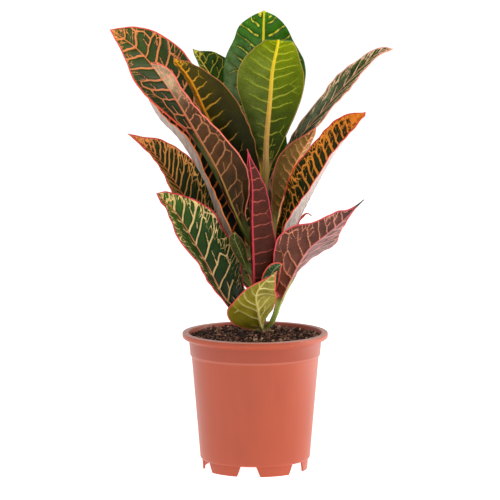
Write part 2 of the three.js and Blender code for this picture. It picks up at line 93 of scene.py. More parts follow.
# The table is lit from below, most of all to the right of the pot, and enough under it to stay white: where
# each glow is, from how far to how far it fades, and its strength. The rest has TABLE_LIGHT.
TABLE_LIGHT = 0.62
GLOWS = [((0.7, 0.15, 0.0), 0.3, 0.55, 2.2), ((0.0, 0.0, 0.0), 0.055, 0.07, 1.0)]

# The soft lights, which face LIT_SPOT: the setting that has their power, then size, colour and place. The
# camera stands at EYE and looks down by LOOK_DOWN, in radians.
WHITE, WARM = (1.0, 1.0, 1.0), (1.0, 0.94, 0.84)
LAMPS = {
    "window_left": ("window", 1.2, WHITE, (-1.7, -2.0, 2.0)),
    "window_right": ("fill", 1.3, WARM, (2.35, 0.1, 0.6)),
    "front_right": ("front", 1.8, WHITE, (1.6, -2.2, 1.5)),
    "top": ("top", 1.2, WHITE, (-0.2, 0.3, 2.2)),
}
LIT_SPOT = (0, 0, 0.22)
EYE = (-0.0046, -2.787, 0.5608)
LOOK_DOWN = 0.13

# Ways that a leaf's upper side can face.
VIEWER = (0, -1, 0)
AWAY = (0, 1, 0)
SKY = (0, 0, 1)

# How a side of a blade is coloured. ground, vein and rib run from the foot to the tip of the leaf, and stalk
# is what all of them start from. The ground is mostly darker at the foot: partly the leaf's own colour, and
# partly painted shade where the plant shades its own base. rib_width and margin_width are in millimetres. net
# is how strongly the fine meshes show, web how wide the lines of the large ones are in millimetres, flush how
# far up the tip is all vein colour, mottle how much the ground varies, broken how far the veins fall into
# dashes, shine the specular level of the skin, and wash the colour laid over parts of the blade: a real paler
# part on some leaves, a painted sheen on others, and a painted shade on the purple front leaf.
SKIN = dict(stalk="#8a9a4c", wash="#7d8470", rib_width=1.8, margin_width=1.0, net=0.0, web=0.0, flush=0.0,
            mottle=0.5, broken=0.2, rough=0.38, shine=0.12)
LOOKS = {
    "upper_orange": dict(
        SKIN, ground="#101a06 #172206 #263a14 #3e5616", vein="#90522e #b86c44 #e8905a #ff9a4e",
        rib="#c0603a #dc7c50 #f68c4c", stalk="#6a7438", margin="#ee5c46", rib_width=2.5, margin_width=1.2,
        web=1.1, flush=0.02, broken=0.1, rough=0.34, shine=0.26),
    "upper_barred": dict(
        SKIN, ground="#0e1406 #141c0a #222c12", vein="#dc7434 #e87e3a", rib="#c86840 #ea8448",
        stalk="#6a7438", margin="#ea8444", margin_width=0.9, flush=0.05, mottle=0.4, broken=0.1, shine=0.2),
    "upper_fiery": dict(
        SKIN, ground="#141e04 #1a2a02 #223002 #302e02", vein="#f0984a #ffaa4e #ffa034 #fa8c26",
        rib="#d8703c #e65432", margin="#e64a38", wash="#c8a09a", rib_width=1.6, margin_width=1.3, net=0.5,
        web=1.4, flush=0.1, mottle=0.4, broken=0.1, shine=0.18),
    "upper_meshed": dict(
        SKIN, ground="#1c3204 #203606 #2c3e08", vein="#e8b05c #ffc464 #ff9c54", rib="#d87838 #f87a48",
        margin="#ea5a48", rib_width=1.5, margin_width=1.3, net=0.3, web=1.3, flush=0.1, mottle=0.4,
        broken=0.15, shine=0.26),
    "upper_peach": dict(
        SKIN, ground="#12240a #19340e #284a14 #44701e", vein="#dcb46c #ffd084 #ffe09a #ffdc80",
        rib="#eaa87c #f08a5c", stalk="#a0a050", margin="#e84c54", wash="#c89a70", rib_width=2.3,
        margin_width=1.4, web=1.5, flush=0.0, broken=0.12, rough=0.33, shine=0.24),
    # Its wash colour is a painted sheen: whitish gloss patches.
    "upper_yellow": dict(
        SKIN, ground="#0a2602 #123404 #245202 #3e8000", vein="#b4b434 #e0d834 #fff040",
        rib="#e0a820 #ffdc18 #ffee18", stalk="#a0a848", margin="#40701e", wash="#b4c090", rib_width=5.0,
        margin_width=0.4, mottle=0.6, broken=0.75, rough=0.3, shine=0.28),
    "upper_lime": dict(
        SKIN, ground="#0e2a08 #1a3c08 #2e5408", vein="#8c9020 #b0ac24 #e0cc44", rib="#d8a830 #ecc43c",
        stalk="#a0a848", margin="#6a8a2a", wash="#9aa88a", rib_width=3.4, margin_width=0.6, flush=0.03,
        mottle=0.6, broken=0.3, rough=0.32, shine=0.22),
    # Its wash colour is a painted sheen: pale grey gloss.
    "upper_grey": dict(
        SKIN, ground="#2c4022 #1a300a #3c5c12", vein="#f4cc98 #ffd098 #ffd4b0", rib="#e8a070 #f0a078",
        stalk="#8a9a60", margin="#ffb098", wash="#a8b08c", rib_width=1.4, margin_width=1.2, web=1.4,
        flush=0.02, mottle=0.7, broken=0.25, rough=0.3, shine=0.14),
    "upper_striped": dict(
        SKIN, ground="#1a3a1c #2c5030 #386038", vein="#6c8c5c #8ca474", rib="#88a068 #b0b478",
        margin="#e05848", rib_width=1.0, broken=0.1, shine=0.26),
    # Its wash colour is a painted sheen: whitish gloss.
    "under_olive": dict(
        SKIN, ground="#161b04 #1d2604 #3c4a08 #5c6c04 #7c8c02", vein="#6a6420 #88862c #98a030 #b8ba2a",
        rib="#a8845a #bc9460 #d0a44c #dcbc30 #f0d822", stalk="#a88a4a", margin="#b89044", wash="#a8b070",
        rib_width=5.8, margin_width=0.5, mottle=0.35, broken=0.15, shine=0.07),
    "under_brown": dict(
        SKIN, ground="#1a1c06 #1c1f08 #242404 #3a3402 #504406", vein="#74501e #a0783a #c08c2c #f0b02c",
        rib="#7a7024 #b88224 #f09c20 #fcac1c", stalk="#7a7a2c", margin="#b07840", wash="#b8781c",
        rib_width=4.2, margin_width=0.5, flush=0.04, broken=0.3, rough=0.44),
    "under_moss": dict(
        SKIN, ground="#2a2e10 #3a4016", vein="#6a6c34 #7c7c40", rib="#747c3c #8c8c4c", stalk="#6a7438",
        margin="#9a6a40", rib_width=1.0, margin_width=0.6),
    "under_umber": dict(
        SKIN, ground="#5c6a28 #7c642c #8c6434", vein="#c8a054 #e4a05a #f6b070", rib="#d08440 #e88c50",
        stalk="#a0a058", margin="#dc7458", wash="#b0724c", broken=0.3, rough=0.44),
    "under_rose": dict(
        SKIN, ground="#1a1606 #2e220a #442a12 #4e321a #6a4e36", vein="#58401f #885c34 #bc7850 #e89478",
        rib="#5c5a26 #887030 #c07c54 #f09078", stalk="#4c5620", margin="#f0806c", wash="#e0c89a",
        rib_width=2.2, margin_width=1.1, web=0.8, mottle=0.6, rough=0.42),
    # Its wash colour is a painted sheen: pinkish-white gloss.
    "under_maroon": dict(
        SKIN, ground="#66321f #60301f #5a2e22 #5e3634", vein="#b87a54 #d8885c #e49470 #e4a08c",
        rib="#cc706a #cc7470", stalk="#a4b458", margin="#dc4c58", wash="#98767a", margin_width=1.0, web=1.0,
        mottle=0.7, broken=0.25, rough=0.34, shine=0.26),
    # Its dark wash colour is painted shade.
    "under_crimson": dict(
        SKIN, ground="#34180c #421e14 #52241a #50261e", vein="#5a3822 #883f36 #bc5c50 #d0665c",
        rib="#9c323c #cc3848 #e4445c", stalk="#5c4028", margin="#c44454", wash="#30220e", rib_width=2.9,
        margin_width=0.8, mottle=0.4, broken=0.25, rough=0.44),
    # The pale grey ground is partly the underside's own colour and partly painted sheen: the glare of the
    # underside at a grazing angle.
    "under_pale": dict(
        SKIN, ground="#988c86 #aca09a #b8aaa6", vein="#a8887c #b4948a", rib="#a09468 #b48478",
        stalk="#a4b458", margin="#e07868", wash="#c8bcb8", rib_width=1.6, mottle=0.4, broken=0.3),
    "under_blush": dict(
        SKIN, ground="#4e4422 #6c4c38 #7e5a4a #8a6456", vein="#8c7c54 #b08070 #c08a78",
        rib="#8a8a50 #b8706a", margin="#dc6858", wash="#a08478", broken=0.3, rough=0.42),
    "under_dusk": dict(
        SKIN, ground="#54493d #988a80 #b6a69e", vein="#a08c74 #bca494", rib="#848050 #b08466",
        stalk="#5c6434", margin="#e88058", wash="#8a7c78", rib_width=1.6, broken=0.3),
    "under_sage": dict(
        SKIN, ground="#867a1a #8c8022 #908430", vein="#d8ca78 #e0d488 #e4d890", rib="#dccc7c #dcc474",
        stalk="#ccb870", margin="#f06454", wash="#a8a058", rib_width=2.2, margin_width=1.1, broken=0.1,
        rough=0.44),
}

# How the side veins of a leaf run: gap between them in millimetres, their angle from the midrib, how much
# they bend to the tip, the share of the half width that they start and reach, their width, how much they thin
# out, how often their ends fork or are joined by a loop, and how often twigs run on to the margin. seed sets
# what is left to chance. web is how much of the large meshes shows at the midrib and at the margin, below and
# above, and cell their size in millimetres. sides and loops say how much of their reach and of their loops
# the veins have on the left and right half.
PLAIN = dict(gap=10, angle=62, bend=0.12, start=0.0, reach=0.7, width=1.1, taper=0.55, fork=0.15, loop=0.0,
             twigs=0.1, seed=1, web=(0, 0, 0, 0), cell=9, sides=(1, 1), loops=(1, 1))
LOOPED = dict(PLAIN, angle=66, bend=0.1, reach=0.66, width=1.3, taper=0.25, fork=0.0, loop=1.0, twigs=0.6)

# The leaves, as their solids have them. at is the height on the stem, rib the midrib's further points,
# towards the way that the upper side faces, and turn by how many degrees it is turned from that at foot,
# middle and tip. fold is how steeply the halves rise, and wave the height, the number and the start of the
# waves at the margin. left and right are the half widths, the right one only where it differs. look names
# upper and under side. wash is how strongly the left and the right half take the look's wash colour, and from
# where to where; with 0 for both, the whole width takes it from the first place to the second. That colour is
# a real paler part on some leaves, a painted sheen on others and a painted shade on the purple front leaf.
# Beyond dry the tip is withered.
LEAVES = {
    "leaf_upper_left": dict(
        at=196, rib=[(-18, -8, 237), (-34, -8, 267), (-51, -6, 298), (-76, -10, 341), (-101, -17, 374),
                     (-127, -25, 394)],
        towards=VIEWER, turn=(10, 24, 35), fold=20, wave=(1.2, 3.5, 0.1),
        left=[(0.2, 3), (0.42, 4), (0.52, 8), (0.62, 19), (0.7, 27), (0.78, 30), (0.86, 26), (0.93, 16),
              (0.97, 6)],
        right=[(0.2, 3), (0.4, 10), (0.55, 20), (0.65, 28), (0.75, 30), (0.85, 24), (0.92, 16), (0.97, 7)],
        look=("upper_orange", "under_blush"),
        veins=dict(LOOPED, gap=17, angle=64, width=1.8, reach=0.7, web=(0, 0, 0, 0.5), cell=8,
                   sides=(1.15, 1), loops=(0.7, 1), seed=11)),
    "leaf_left_folded": dict(
        at=166, rib=[(-29, -6, 222), (-44, -2, 259), (-66, 2, 295), (-83, 4, 313), (-96, 6, 334)],
        towards=VIEWER, turn=(75, 64, 84), fold=40, wave=(1.4, 3, 0.4),
        left=[(0.12, 3), (0.25, 14), (0.4, 22), (0.55, 23), (0.7, 22), (0.85, 15), (0.94, 7)],
        look=("upper_barred", "under_dusk"), veins=dict(PLAIN, gap=12, width=2.0, reach=0.9, seed=12)),
    "leaf_dark_front": dict(
        at=224, rib=[(-8, -8, 262), (-22, -16, 283), (-40, -24, 315), (-55, -34, 349), (-71, -46, 371)],
        towards=AWAY, turn=(-36, -44, -28), fold=36, wave=(1, 3, 0.2),
        left=[(0.12, 3), (0.2, 10), (0.35, 23), (0.45, 27), (0.55, 30), (0.65, 30), (0.75, 24), (0.85, 15),
              (0.92, 9), (0.97, 4)],
        right=[(0.12, 3), (0.2, 7), (0.35, 12), (0.5, 14), (0.65, 15), (0.75, 15), (0.85, 12), (0.92, 8),
               (0.97, 4)],
        look=("upper_orange", "under_brown"),
        veins=dict(PLAIN, gap=14, angle=80, width=2.1, reach=0.58, taper=0.75, fork=0.3, seed=13),
        wash=(0.0, 0.6, 0.62, 1.0)),
    "leaf_long_folded": dict(
        at=184, rib=[(-16, -26, 231), (-31, -36, 269), (-45, -42, 296), (-68, -50, 336), (-90, -60, 368)],
        towards=AWAY, turn=(-30, -41, -86), fold=45, wave=(1.2, 3, 0.6),
        left=[(0.12, 3), (0.25, 7), (0.35, 19), (0.45, 25), (0.55, 21), (0.65, 16), (0.75, 12), (0.85, 11),
              (0.92, 12), (0.97, 10)],
        look=("upper_orange", "under_rose"),
        veins=dict(LOOPED, gap=15, loop=0.8, twigs=0.3, web=(0, 0, 0.2, 0.8), cell=7, seed=14),
        wash=(0.0, 0.0, 0.74, 1.0)),
    "leaf_back_top": dict(
        at=232, rib=[(6, 18, 270), (6, 27, 316), (7, 36, 362), (8, 44, 407)],
        towards=VIEWER, turn=(0, 8, 0), fold=10, wave=(1.6, 3, 0.1),
        left=[(0.12, 3), (0.3, 16), (0.5, 31), (0.65, 36), (0.75, 35), (0.85, 27), (0.92, 22), (0.97, 11)],
        right=[(0.12, 3), (0.3, 16), (0.5, 32), (0.65, 38), (0.75, 37), (0.85, 27), (0.92, 20), (0.97, 11)],
        look=("upper_yellow", "under_olive"),
        veins=dict(PLAIN, gap=15, angle=64, width=1.5, start=0.2, reach=0.85, fork=0.4, seed=15),
        # The wash on the left half is a painted sheen.
        wash=(0.22, 0.0, 0.35, 0.8)),
    "leaf_back_small": dict(
        at=218, rib=[(-8, 30, 283), (-25, 44, 324), (-45, 52, 356), (-56, 54, 372)],
        towards=VIEWER, turn=(30, 50, 45), fold=25, wave=(1, 2, 0.3),
        left=[(0.12, 3), (0.4, 12), (0.6, 18), (0.75, 18), (0.85, 12), (0.92, 7), (0.97, 3)],
        right=[(0.12, 3), (0.4, 14), (0.6, 22), (0.75, 25), (0.85, 22), (0.92, 16), (0.97, 5)],
        look=("upper_lime", "under_blush"),
        veins=dict(LOOPED, gap=12, width=1.1, loop=0.6, twigs=0.5, seed=16)),
    "leaf_centre_olive": dict(
        at=228, rib=[(9, -9, 262), (10, -12, 296), (13, -22, 332), (15, -34, 359), (19, -48, 380),
                     (20, -64, 388)],
        towards=AWAY, turn=(-10, 0, 0), fold=10, wave=(0.8, 2.5, 0.2),
        left=[(0.12, 3), (0.25, 4), (0.35, 12), (0.45, 19), (0.55, 25), (0.65, 29), (0.75, 28), (0.85, 21),
              (0.92, 15), (0.97, 9)],
        right=[(0.12, 3), (0.25, 4), (0.35, 10), (0.45, 16), (0.55, 24), (0.65, 30), (0.75, 29), (0.85, 20),
               (0.92, 13), (0.97, 8)],
        look=("upper_yellow", "under_olive"),
        veins=dict(PLAIN, gap=13, angle=76, width=1.5, reach=0.72, taper=0.6, seed=17),
        # The faint wash on the right half is a painted sheen.
        wash=(0.0, 0.12, 0.35, 0.85)),
    "leaf_right_top": dict(
        at=206, rib=[(33, 24, 283), (66, 35, 324), (91, 42, 352), (112, 48, 370), (124, 51, 372)],
        towards=VIEWER, turn=(-60, -62, -55), fold=14, wave=(1.2, 4, 0.5),
        left=[(0.1, 5), (0.2, 10), (0.3, 12), (0.4, 10), (0.5, 10), (0.6, 14), (0.7, 14), (0.8, 12),
              (0.88, 9), (0.94, 5), (0.98, 2)],
        right=[(0.1, 5), (0.2, 7), (0.3, 8), (0.4, 10), (0.5, 15), (0.6, 17), (0.7, 15), (0.8, 11), (0.88, 9),
               (0.94, 6), (0.98, 3)],
        look=("upper_grey", "under_dusk"),
        veins=dict(PLAIN, gap=22, angle=24, width=1.4, reach=0.7, web=(0, 1, 0.2, 1), cell=7,
                   sides=(0.6, 1), seed=18),
        # The wash, mostly on the left half, is a painted sheen.
        wash=(0.4, 0.1, 0.0, 0.75)),
    "leaf_right_brown": dict(
        at=150, rib=[(16, 12, 193), (20, 7, 227), (25, 3, 246), (32, 1, 267), (41, 1, 284), (54, 2, 306)],
        towards=AWAY, turn=(40, 40, 20), fold=38, wave=(1, 2.5, 0.1),
        left=[(0.08, 3), (0.4, 4), (0.5, 7), (0.6, 12), (0.7, 15), (0.8, 15), (0.88, 11), (0.94, 5),
              (0.98, 2)],
        look=("upper_orange", "under_umber"), veins=dict(PLAIN, gap=10, angle=66, width=1.3, seed=19),
        wash=(0.35, 0.0, 0.0, 0.8)),
    "leaf_right_mid": dict(
        at=160, rib=[(37, -16, 225), (59, -20, 268), (76, -19, 295), (97, -16, 321)],
        towards=VIEWER, turn=(-100, -74, -60), fold=32, wave=(1, 3, 0.7),
        left=[(0.12, 3), (0.2, 11), (0.35, 23), (0.45, 28), (0.55, 29), (0.65, 27), (0.75, 24), (0.85, 20),
              (0.92, 15), (0.97, 7)],
        look=("upper_fiery", "under_pale"),
        veins=dict(LOOPED, gap=10, angle=64, width=1.9, web=(0, 0.35, 0.1, 1), cell=5.6, seed=20)),
    "leaf_right_low": dict(
        at=122, rib=[(11, 7, 126), (16, 2, 133), (22, -7, 151), (31, -21, 173), (39, -30, 190),
                     (48, -38, 204), (61, -48, 216), (76, -58, 230), (94, -66, 249)],
        towards=AWAY, turn=(45, 38, 15), fold=22, wave=(1.4, 3, 0.3),
        left=[(0.06, 3), (0.3, 4), (0.4, 8), (0.48, 17), (0.57, 27), (0.66, 24), (0.75, 13), (0.85, 4),
              (0.92, 1)],
        right=[(0.06, 3), (0.2, 4), (0.3, 12), (0.38, 18), (0.47, 24), (0.57, 28), (0.66, 22), (0.75, 15),
               (0.85, 10), (0.92, 3)],
        look=("upper_orange", "under_maroon"),
        veins=dict(LOOPED, gap=16, angle=56, width=1.0, loop=0.7, web=(0, 0.3, 0, 0.7), cell=8, seed=21),
        # The wash on the left half is a painted sheen.
        wash=(0.55, 0.0, 0.0, 0.9), dry=0.93),
    "leaf_front_purple": dict(
        at=140, rib=[(0, -22, 165), (-1, -31, 191), (-2, -38, 228), (-2, -41, 259), (-5, -42, 282),
                     (-7, -44, 291)],
        towards=AWAY, turn=(-36, -37, -30), fold=45, wave=(0.8, 3, 0.2),
        left=[(0.12, 3), (0.25, 10), (0.34, 16), (0.43, 19), (0.52, 20), (0.62, 18), (0.71, 15), (0.8, 11),
              (0.88, 6), (0.93, 3), (0.97, 1)],
        right=[(0.12, 3), (0.25, 8), (0.34, 12), (0.43, 14), (0.52, 14), (0.62, 13), (0.71, 12), (0.8, 9),
               (0.88, 5), (0.93, 3), (0.97, 1)],
        look=("upper_orange", "under_crimson"),
        veins=dict(PLAIN, gap=14, angle=86, width=1.2, reach=0.85, seed=22),
        # The dark wash on the right half is painted shade over that half.
        wash=(0.0, 0.9, 0.0, 0.85)),
    "leaf_front_low": dict(
        at=125, rib=[(4, -8, 131), (2, -24, 147), (1, -36, 161), (7, -44, 172), (19, -48, 184)],
        towards=AWAY, turn=(20, 10, -40), fold=20, wave=(0.6, 2, 0.2),
        left=[(0.07, 6), (0.14, 12), (0.22, 16), (0.3, 18), (0.42, 21), (0.55, 21), (0.7, 19), (0.85, 12),
              (0.95, 4)],
        right=[(0.08, 4), (0.15, 11), (0.25, 22), (0.35, 27), (0.45, 26), (0.55, 20), (0.65, 11), (0.8, 4),
               (0.92, 1)],
        look=("upper_peach", "under_sage"),
        veins=dict(PLAIN, gap=12, angle=56, width=1.4, reach=0.8, seed=23),
        wash=(0.5, 0.0, 0.0, 1.0)),
    "leaf_left_mid": dict(
        at=152, rib=[(-40, 12, 208), (-65, 12, 246), (-88, 9, 280), (-113, 4, 300)],
        towards=VIEWER, turn=(45, 48, 48), fold=30, wave=(1.4, 3.5, 0.8),
        left=[(0.12, 3), (0.3, 13), (0.45, 20), (0.55, 22), (0.65, 22), (0.75, 18), (0.85, 10), (0.92, 3),
              (0.97, 1)],
        right=[(0.12, 3), (0.3, 13), (0.45, 20), (0.55, 24), (0.65, 26), (0.75, 24), (0.85, 15), (0.92, 7),
               (0.97, 3)],
        look=("upper_meshed", "under_blush"),
        veins=dict(LOOPED, gap=8.5, angle=50, width=1.3, web=(0, 0.5, 0, 1), cell=5, seed=24)),
    "leaf_left_low": dict(
        at=130, rib=[(-24, -8, 151), (-44, -16, 188), (-68, -22, 230), (-87, -24, 250)],
        towards=VIEWER, turn=(62, 54, 42), fold=28, wave=(1.6, 3.5, 0.4),
        left=[(0.08, 3), (0.15, 7), (0.25, 13), (0.35, 19), (0.45, 24), (0.55, 27), (0.65, 31), (0.75, 30),
              (0.85, 22), (0.92, 9), (0.97, 3)],
        right=[(0.08, 3), (0.15, 16), (0.25, 25), (0.35, 29), (0.45, 31), (0.55, 32), (0.65, 31), (0.75, 28),
               (0.85, 20), (0.92, 12), (0.97, 7)],
        look=("upper_peach", "under_blush"),
        veins=dict(LOOPED, gap=17, angle=54, width=1.75, loop=0.6, web=(0, 0.35, 0, 1), cell=4.4,
                   sides=(0.4, 1), loops=(0.16, 1), seed=25)),
    "leaf_small_green": dict(
        at=131, rib=[(12, -8, 148), (13, -28, 171), (15, -36, 181), (19, -42, 187), (24, -45, 190)],
        towards=VIEWER, turn=(20, 10, 0), fold=10, wave=(0.6, 2, 0),
        left=[(0.3, 2), (0.5, 5), (0.7, 8), (0.88, 6), (0.96, 3)],
        look=("upper_striped", "under_sage"), veins=dict(PLAIN, gap=4, width=0.7, reach=0.9, seed=26)),
    "leaf_small_olive": dict(
        at=158, rib=[(-8, -12, 184), (-14, -18, 199), (-18, -23, 209), (-18, -25, 216)],
        towards=AWAY, turn=(0, 0, 0), fold=15, wave=(0.4, 2, 0),
        left=[(0.4, 2), (0.55, 4), (0.7, 6), (0.85, 6), (0.94, 4)],
        look=("upper_orange", "under_moss"), veins=dict(PLAIN, gap=5, width=0.7, seed=27)),
    "leaf_small_red": dict(
        at=144, rib=[(16, 2, 168), (29, -3, 199), (37, -5, 221), (42, -5, 227), (46, -6, 230), (50, -7, 228)],
        towards=VIEWER, turn=(-30, -20, 0), fold=15, wave=(0.4, 2, 0),
        left=[(0.3, 3), (0.5, 6), (0.7, 5), (0.82, 2), (0.92, 1)],
        look=("upper_fiery", "under_crimson"), veins=dict(PLAIN, gap=6, width=0.8, seed=28)),
    "leaf_rear_left": dict(
        at=168, rib=[(-14, 36, 226), (-24, 54, 276), (-31, 66, 306)],
        towards=VIEWER, turn=(20, 20, 20), fold=14, wave=(1.4, 3, 0.2),
        left=[(0.15, 3), (0.35, 16), (0.55, 24), (0.75, 20), (0.9, 9)],
        look=("upper_meshed", "under_rose"), veins=dict(LOOPED, seed=29)),
    "leaf_rear_mid": dict(
        at=184, rib=[(6, 36, 262), (8, 56, 310), (13, 68, 346)],
        towards=VIEWER, turn=(0, 0, 0), fold=12, wave=(1.4, 3, 0.6),
        left=[(0.15, 3), (0.35, 16), (0.55, 23), (0.75, 19), (0.9, 9)],
        look=("upper_yellow", "under_brown"), veins=dict(PLAIN, gap=9, seed=30)),
    "leaf_rear_low_left": dict(
        at=142, rib=[(-4, 30, 166), (-12, 52, 186), (-18, 70, 190)],
        towards=SKY, turn=(0, 0, 0), fold=14, wave=(1.4, 3, 0.4),
        left=[(0.2, 3), (0.4, 15), (0.6, 20), (0.8, 15), (0.92, 7)],
        look=("upper_orange", "under_maroon"), veins=dict(LOOPED, gap=8, seed=31)),
    "leaf_rear_low_right": dict(
        at=148, rib=[(18, 28, 176), (28, 50, 200), (36, 68, 208)],
        towards=SKY, turn=(0, 0, 0), fold=14, wave=(1.4, 3, 0.1),
        left=[(0.2, 3), (0.4, 15), (0.6, 20), (0.8, 15), (0.92, 7)],
        look=("upper_peach", "under_umber"), veins=dict(LOOPED, gap=8, seed=32)),
}


class PotSettings(bpy.types.PropertyGroup):
    """The nursery pot."""

    colour: bpy.props.StringProperty(
        name="Colour", description="The dyed plastic, as sRGB hex", default="#b24a29")
    steps: bpy.props.IntProperty(name="Steps", description="Faces round the pot", default=144, min=48)
    rounding: bpy.props.FloatProperty(
        name="Rounding", description="Width of the moulded edges", default=0.00036, unit="LENGTH")


class SoilSettings(bpy.types.PropertyGroup):
    """The potting soil."""

    crumbs: bpy.props.IntProperty(
        name="Crumbs", description="Loose crumbs of peat on top", default=1300, min=0)
    crumb_size: bpy.props.FloatProperty(
        name="Crumb size", description="Radius of a middling crumb", default=0.0011, unit="LENGTH")
    fibres: bpy.props.IntProperty(
        name="Fibres", description="Root and bark fibres on top", default=200, min=0)


class LeafSettings(bpy.types.PropertyGroup):
    """What all the leaves share."""

    step: bpy.props.FloatProperty(
        name="Grid step", description="Distance between the points of a blade", default=0.001, unit="LENGTH")
    thickness: bpy.props.FloatProperty(
        name="Thickness", description="Thickness of the blade", default=0.0008, unit="LENGTH")
    quilting: bpy.props.FloatProperty(
        name="Quilting", description="How far the blade swells between its side veins", default=0.00035,
        unit="LENGTH")
    ripple: bpy.props.FloatProperty(
        name="Ripple", description="Height of the fine ripples at the margin", default=0.0004, unit="LENGTH")


class StageSettings(bpy.types.PropertyGroup):
    """The studio."""

    lens: bpy.props.FloatProperty(name="Lens", description="Focal length in millimetres", default=227.4)
    daylight: bpy.props.FloatProperty(
        name="Daylight", description="Strength of the light all round", default=0.55)
    window: bpy.props.FloatProperty(name="Window", description="Watts of the left soft light", default=15)
    fill: bpy.props.FloatProperty(name="Fill", description="Watts of the right soft light", default=26)
    front: bpy.props.FloatProperty(name="Front", description="Watts of the light at the front", default=15)
    top: bpy.props.FloatProperty(name="Top", description="Watts of the light above", default=6)


def linear(code):
    """An sRGB hex colour as linear RGBA."""
    parts = [int(code[i:i + 2], 16) / 255 for i in (1, 3, 5)]
    return (*[p / 12.92 if p <= 0.04045 else ((p + 0.055) / 1.055) ** 2.4 for p in parts], 1.0)


class Nodes:
    """The emptied node tree of a material or a world. What adds a node gives its output."""

    def __init__(self, owner):
        owner.use_nodes = True
        self.tree = owner.node_tree
        self.tree.nodes.clear()

    def add(self, kind, inputs=None, out=0, **settings):
        """Adds a node with its settings, values and links."""
        made = self.tree.nodes.new(f"ShaderNode{kind}")
        for key, value in settings.items():
            setattr(made, key, value)
        for key, value in (inputs or {}).items():
            if isinstance(value, bpy.types.NodeSocket):
                self.tree.links.new(value, made.inputs[key])
            else:
                made.inputs[key].default_value = value
        return made.outputs[out] if made.outputs else None

    def place(self):
        """A point's place on its piece, in metres."""
        return self.add("TexCoord", out="Object")

    def fact(self, key):
        """What the mesh says of a point."""
        return self.add("Attribute", attribute_name=key, out="Fac")

    def noise(self, place, scale, detail=2.0, out=0):
        return self.add("TexNoise", {"Vector": place, "Scale": scale, "Detail": detail}, out=out)

    def cells(self, place, bend, wander, detail, scale, loose):
        """How far a point is from the edge of its cell, in a net of cells that noise bends."""
        bent = self.add("Mix", {0: bend, 4: place, 5: self.noise(place, wander, detail, "Color")}, out=1,
                        data_type="VECTOR")
        return self.add("TexVoronoi", {"Vector": bent, "Scale": scale, "Randomness": loose},
                        feature="DISTANCE_TO_EDGE")

    def line(self, value, low, high, to_low=0.0, to_high=1.0, **settings):
        """Takes low to to_low and high to to_high, evenly between them and no further."""
        return self.add("MapRange", {"Value": value, "From Min": low, "From Max": high, "To Min": to_low,
                                     "To Max": to_high}, **settings)

    def ease(self, *ends):
        """The same, with a soft start and end."""
        return self.line(*ends, interpolation_type="SMOOTHSTEP")

    def math(self, operation, *values):
        return self.add("Math", dict(enumerate(values)), operation=operation)

    def times(self, one, other):
        return self.math("MULTIPLY", one, other)

    def scaled(self, colour, amount):
        """A colour made brighter or darker."""
        return self.add("VectorMath", {0: colour, "Scale": amount}, operation="SCALE")

    def over(self, below, colour, amount):
        """A colour laid over another one."""
        return self.add("Mix", {0: amount, 6: below, 7: colour}, out=2, data_type="RGBA")

    def blended(self, share, codes):
        """Colours that follow one another evenly as the share goes from 0 to 1."""
        first, *others = codes.split()
        steps = len(others)
        mixed = linear(first)
        for i, code in enumerate(others):
            mixed = self.over(mixed, linear(code), self.line(share, i / steps, (i + 1) / steps))
        return mixed

    def bump(self, height, strength, distance):
        return self.add("Bump", {"Strength": strength, "Distance": distance, "Height": height})

    def coat(self, inputs):
        """Ends a material's tree in its shader."""
        self.add("OutputMaterial", {"Surface": self.add("BsdfPrincipled", inputs)})


def blank(name):
    """A new material and its emptied tree."""
    material = bpy.data.materials.new(name)
    return material, Nodes(material)


# Noise stays mostly between these.
MIDDLE = (0.3, 0.7)


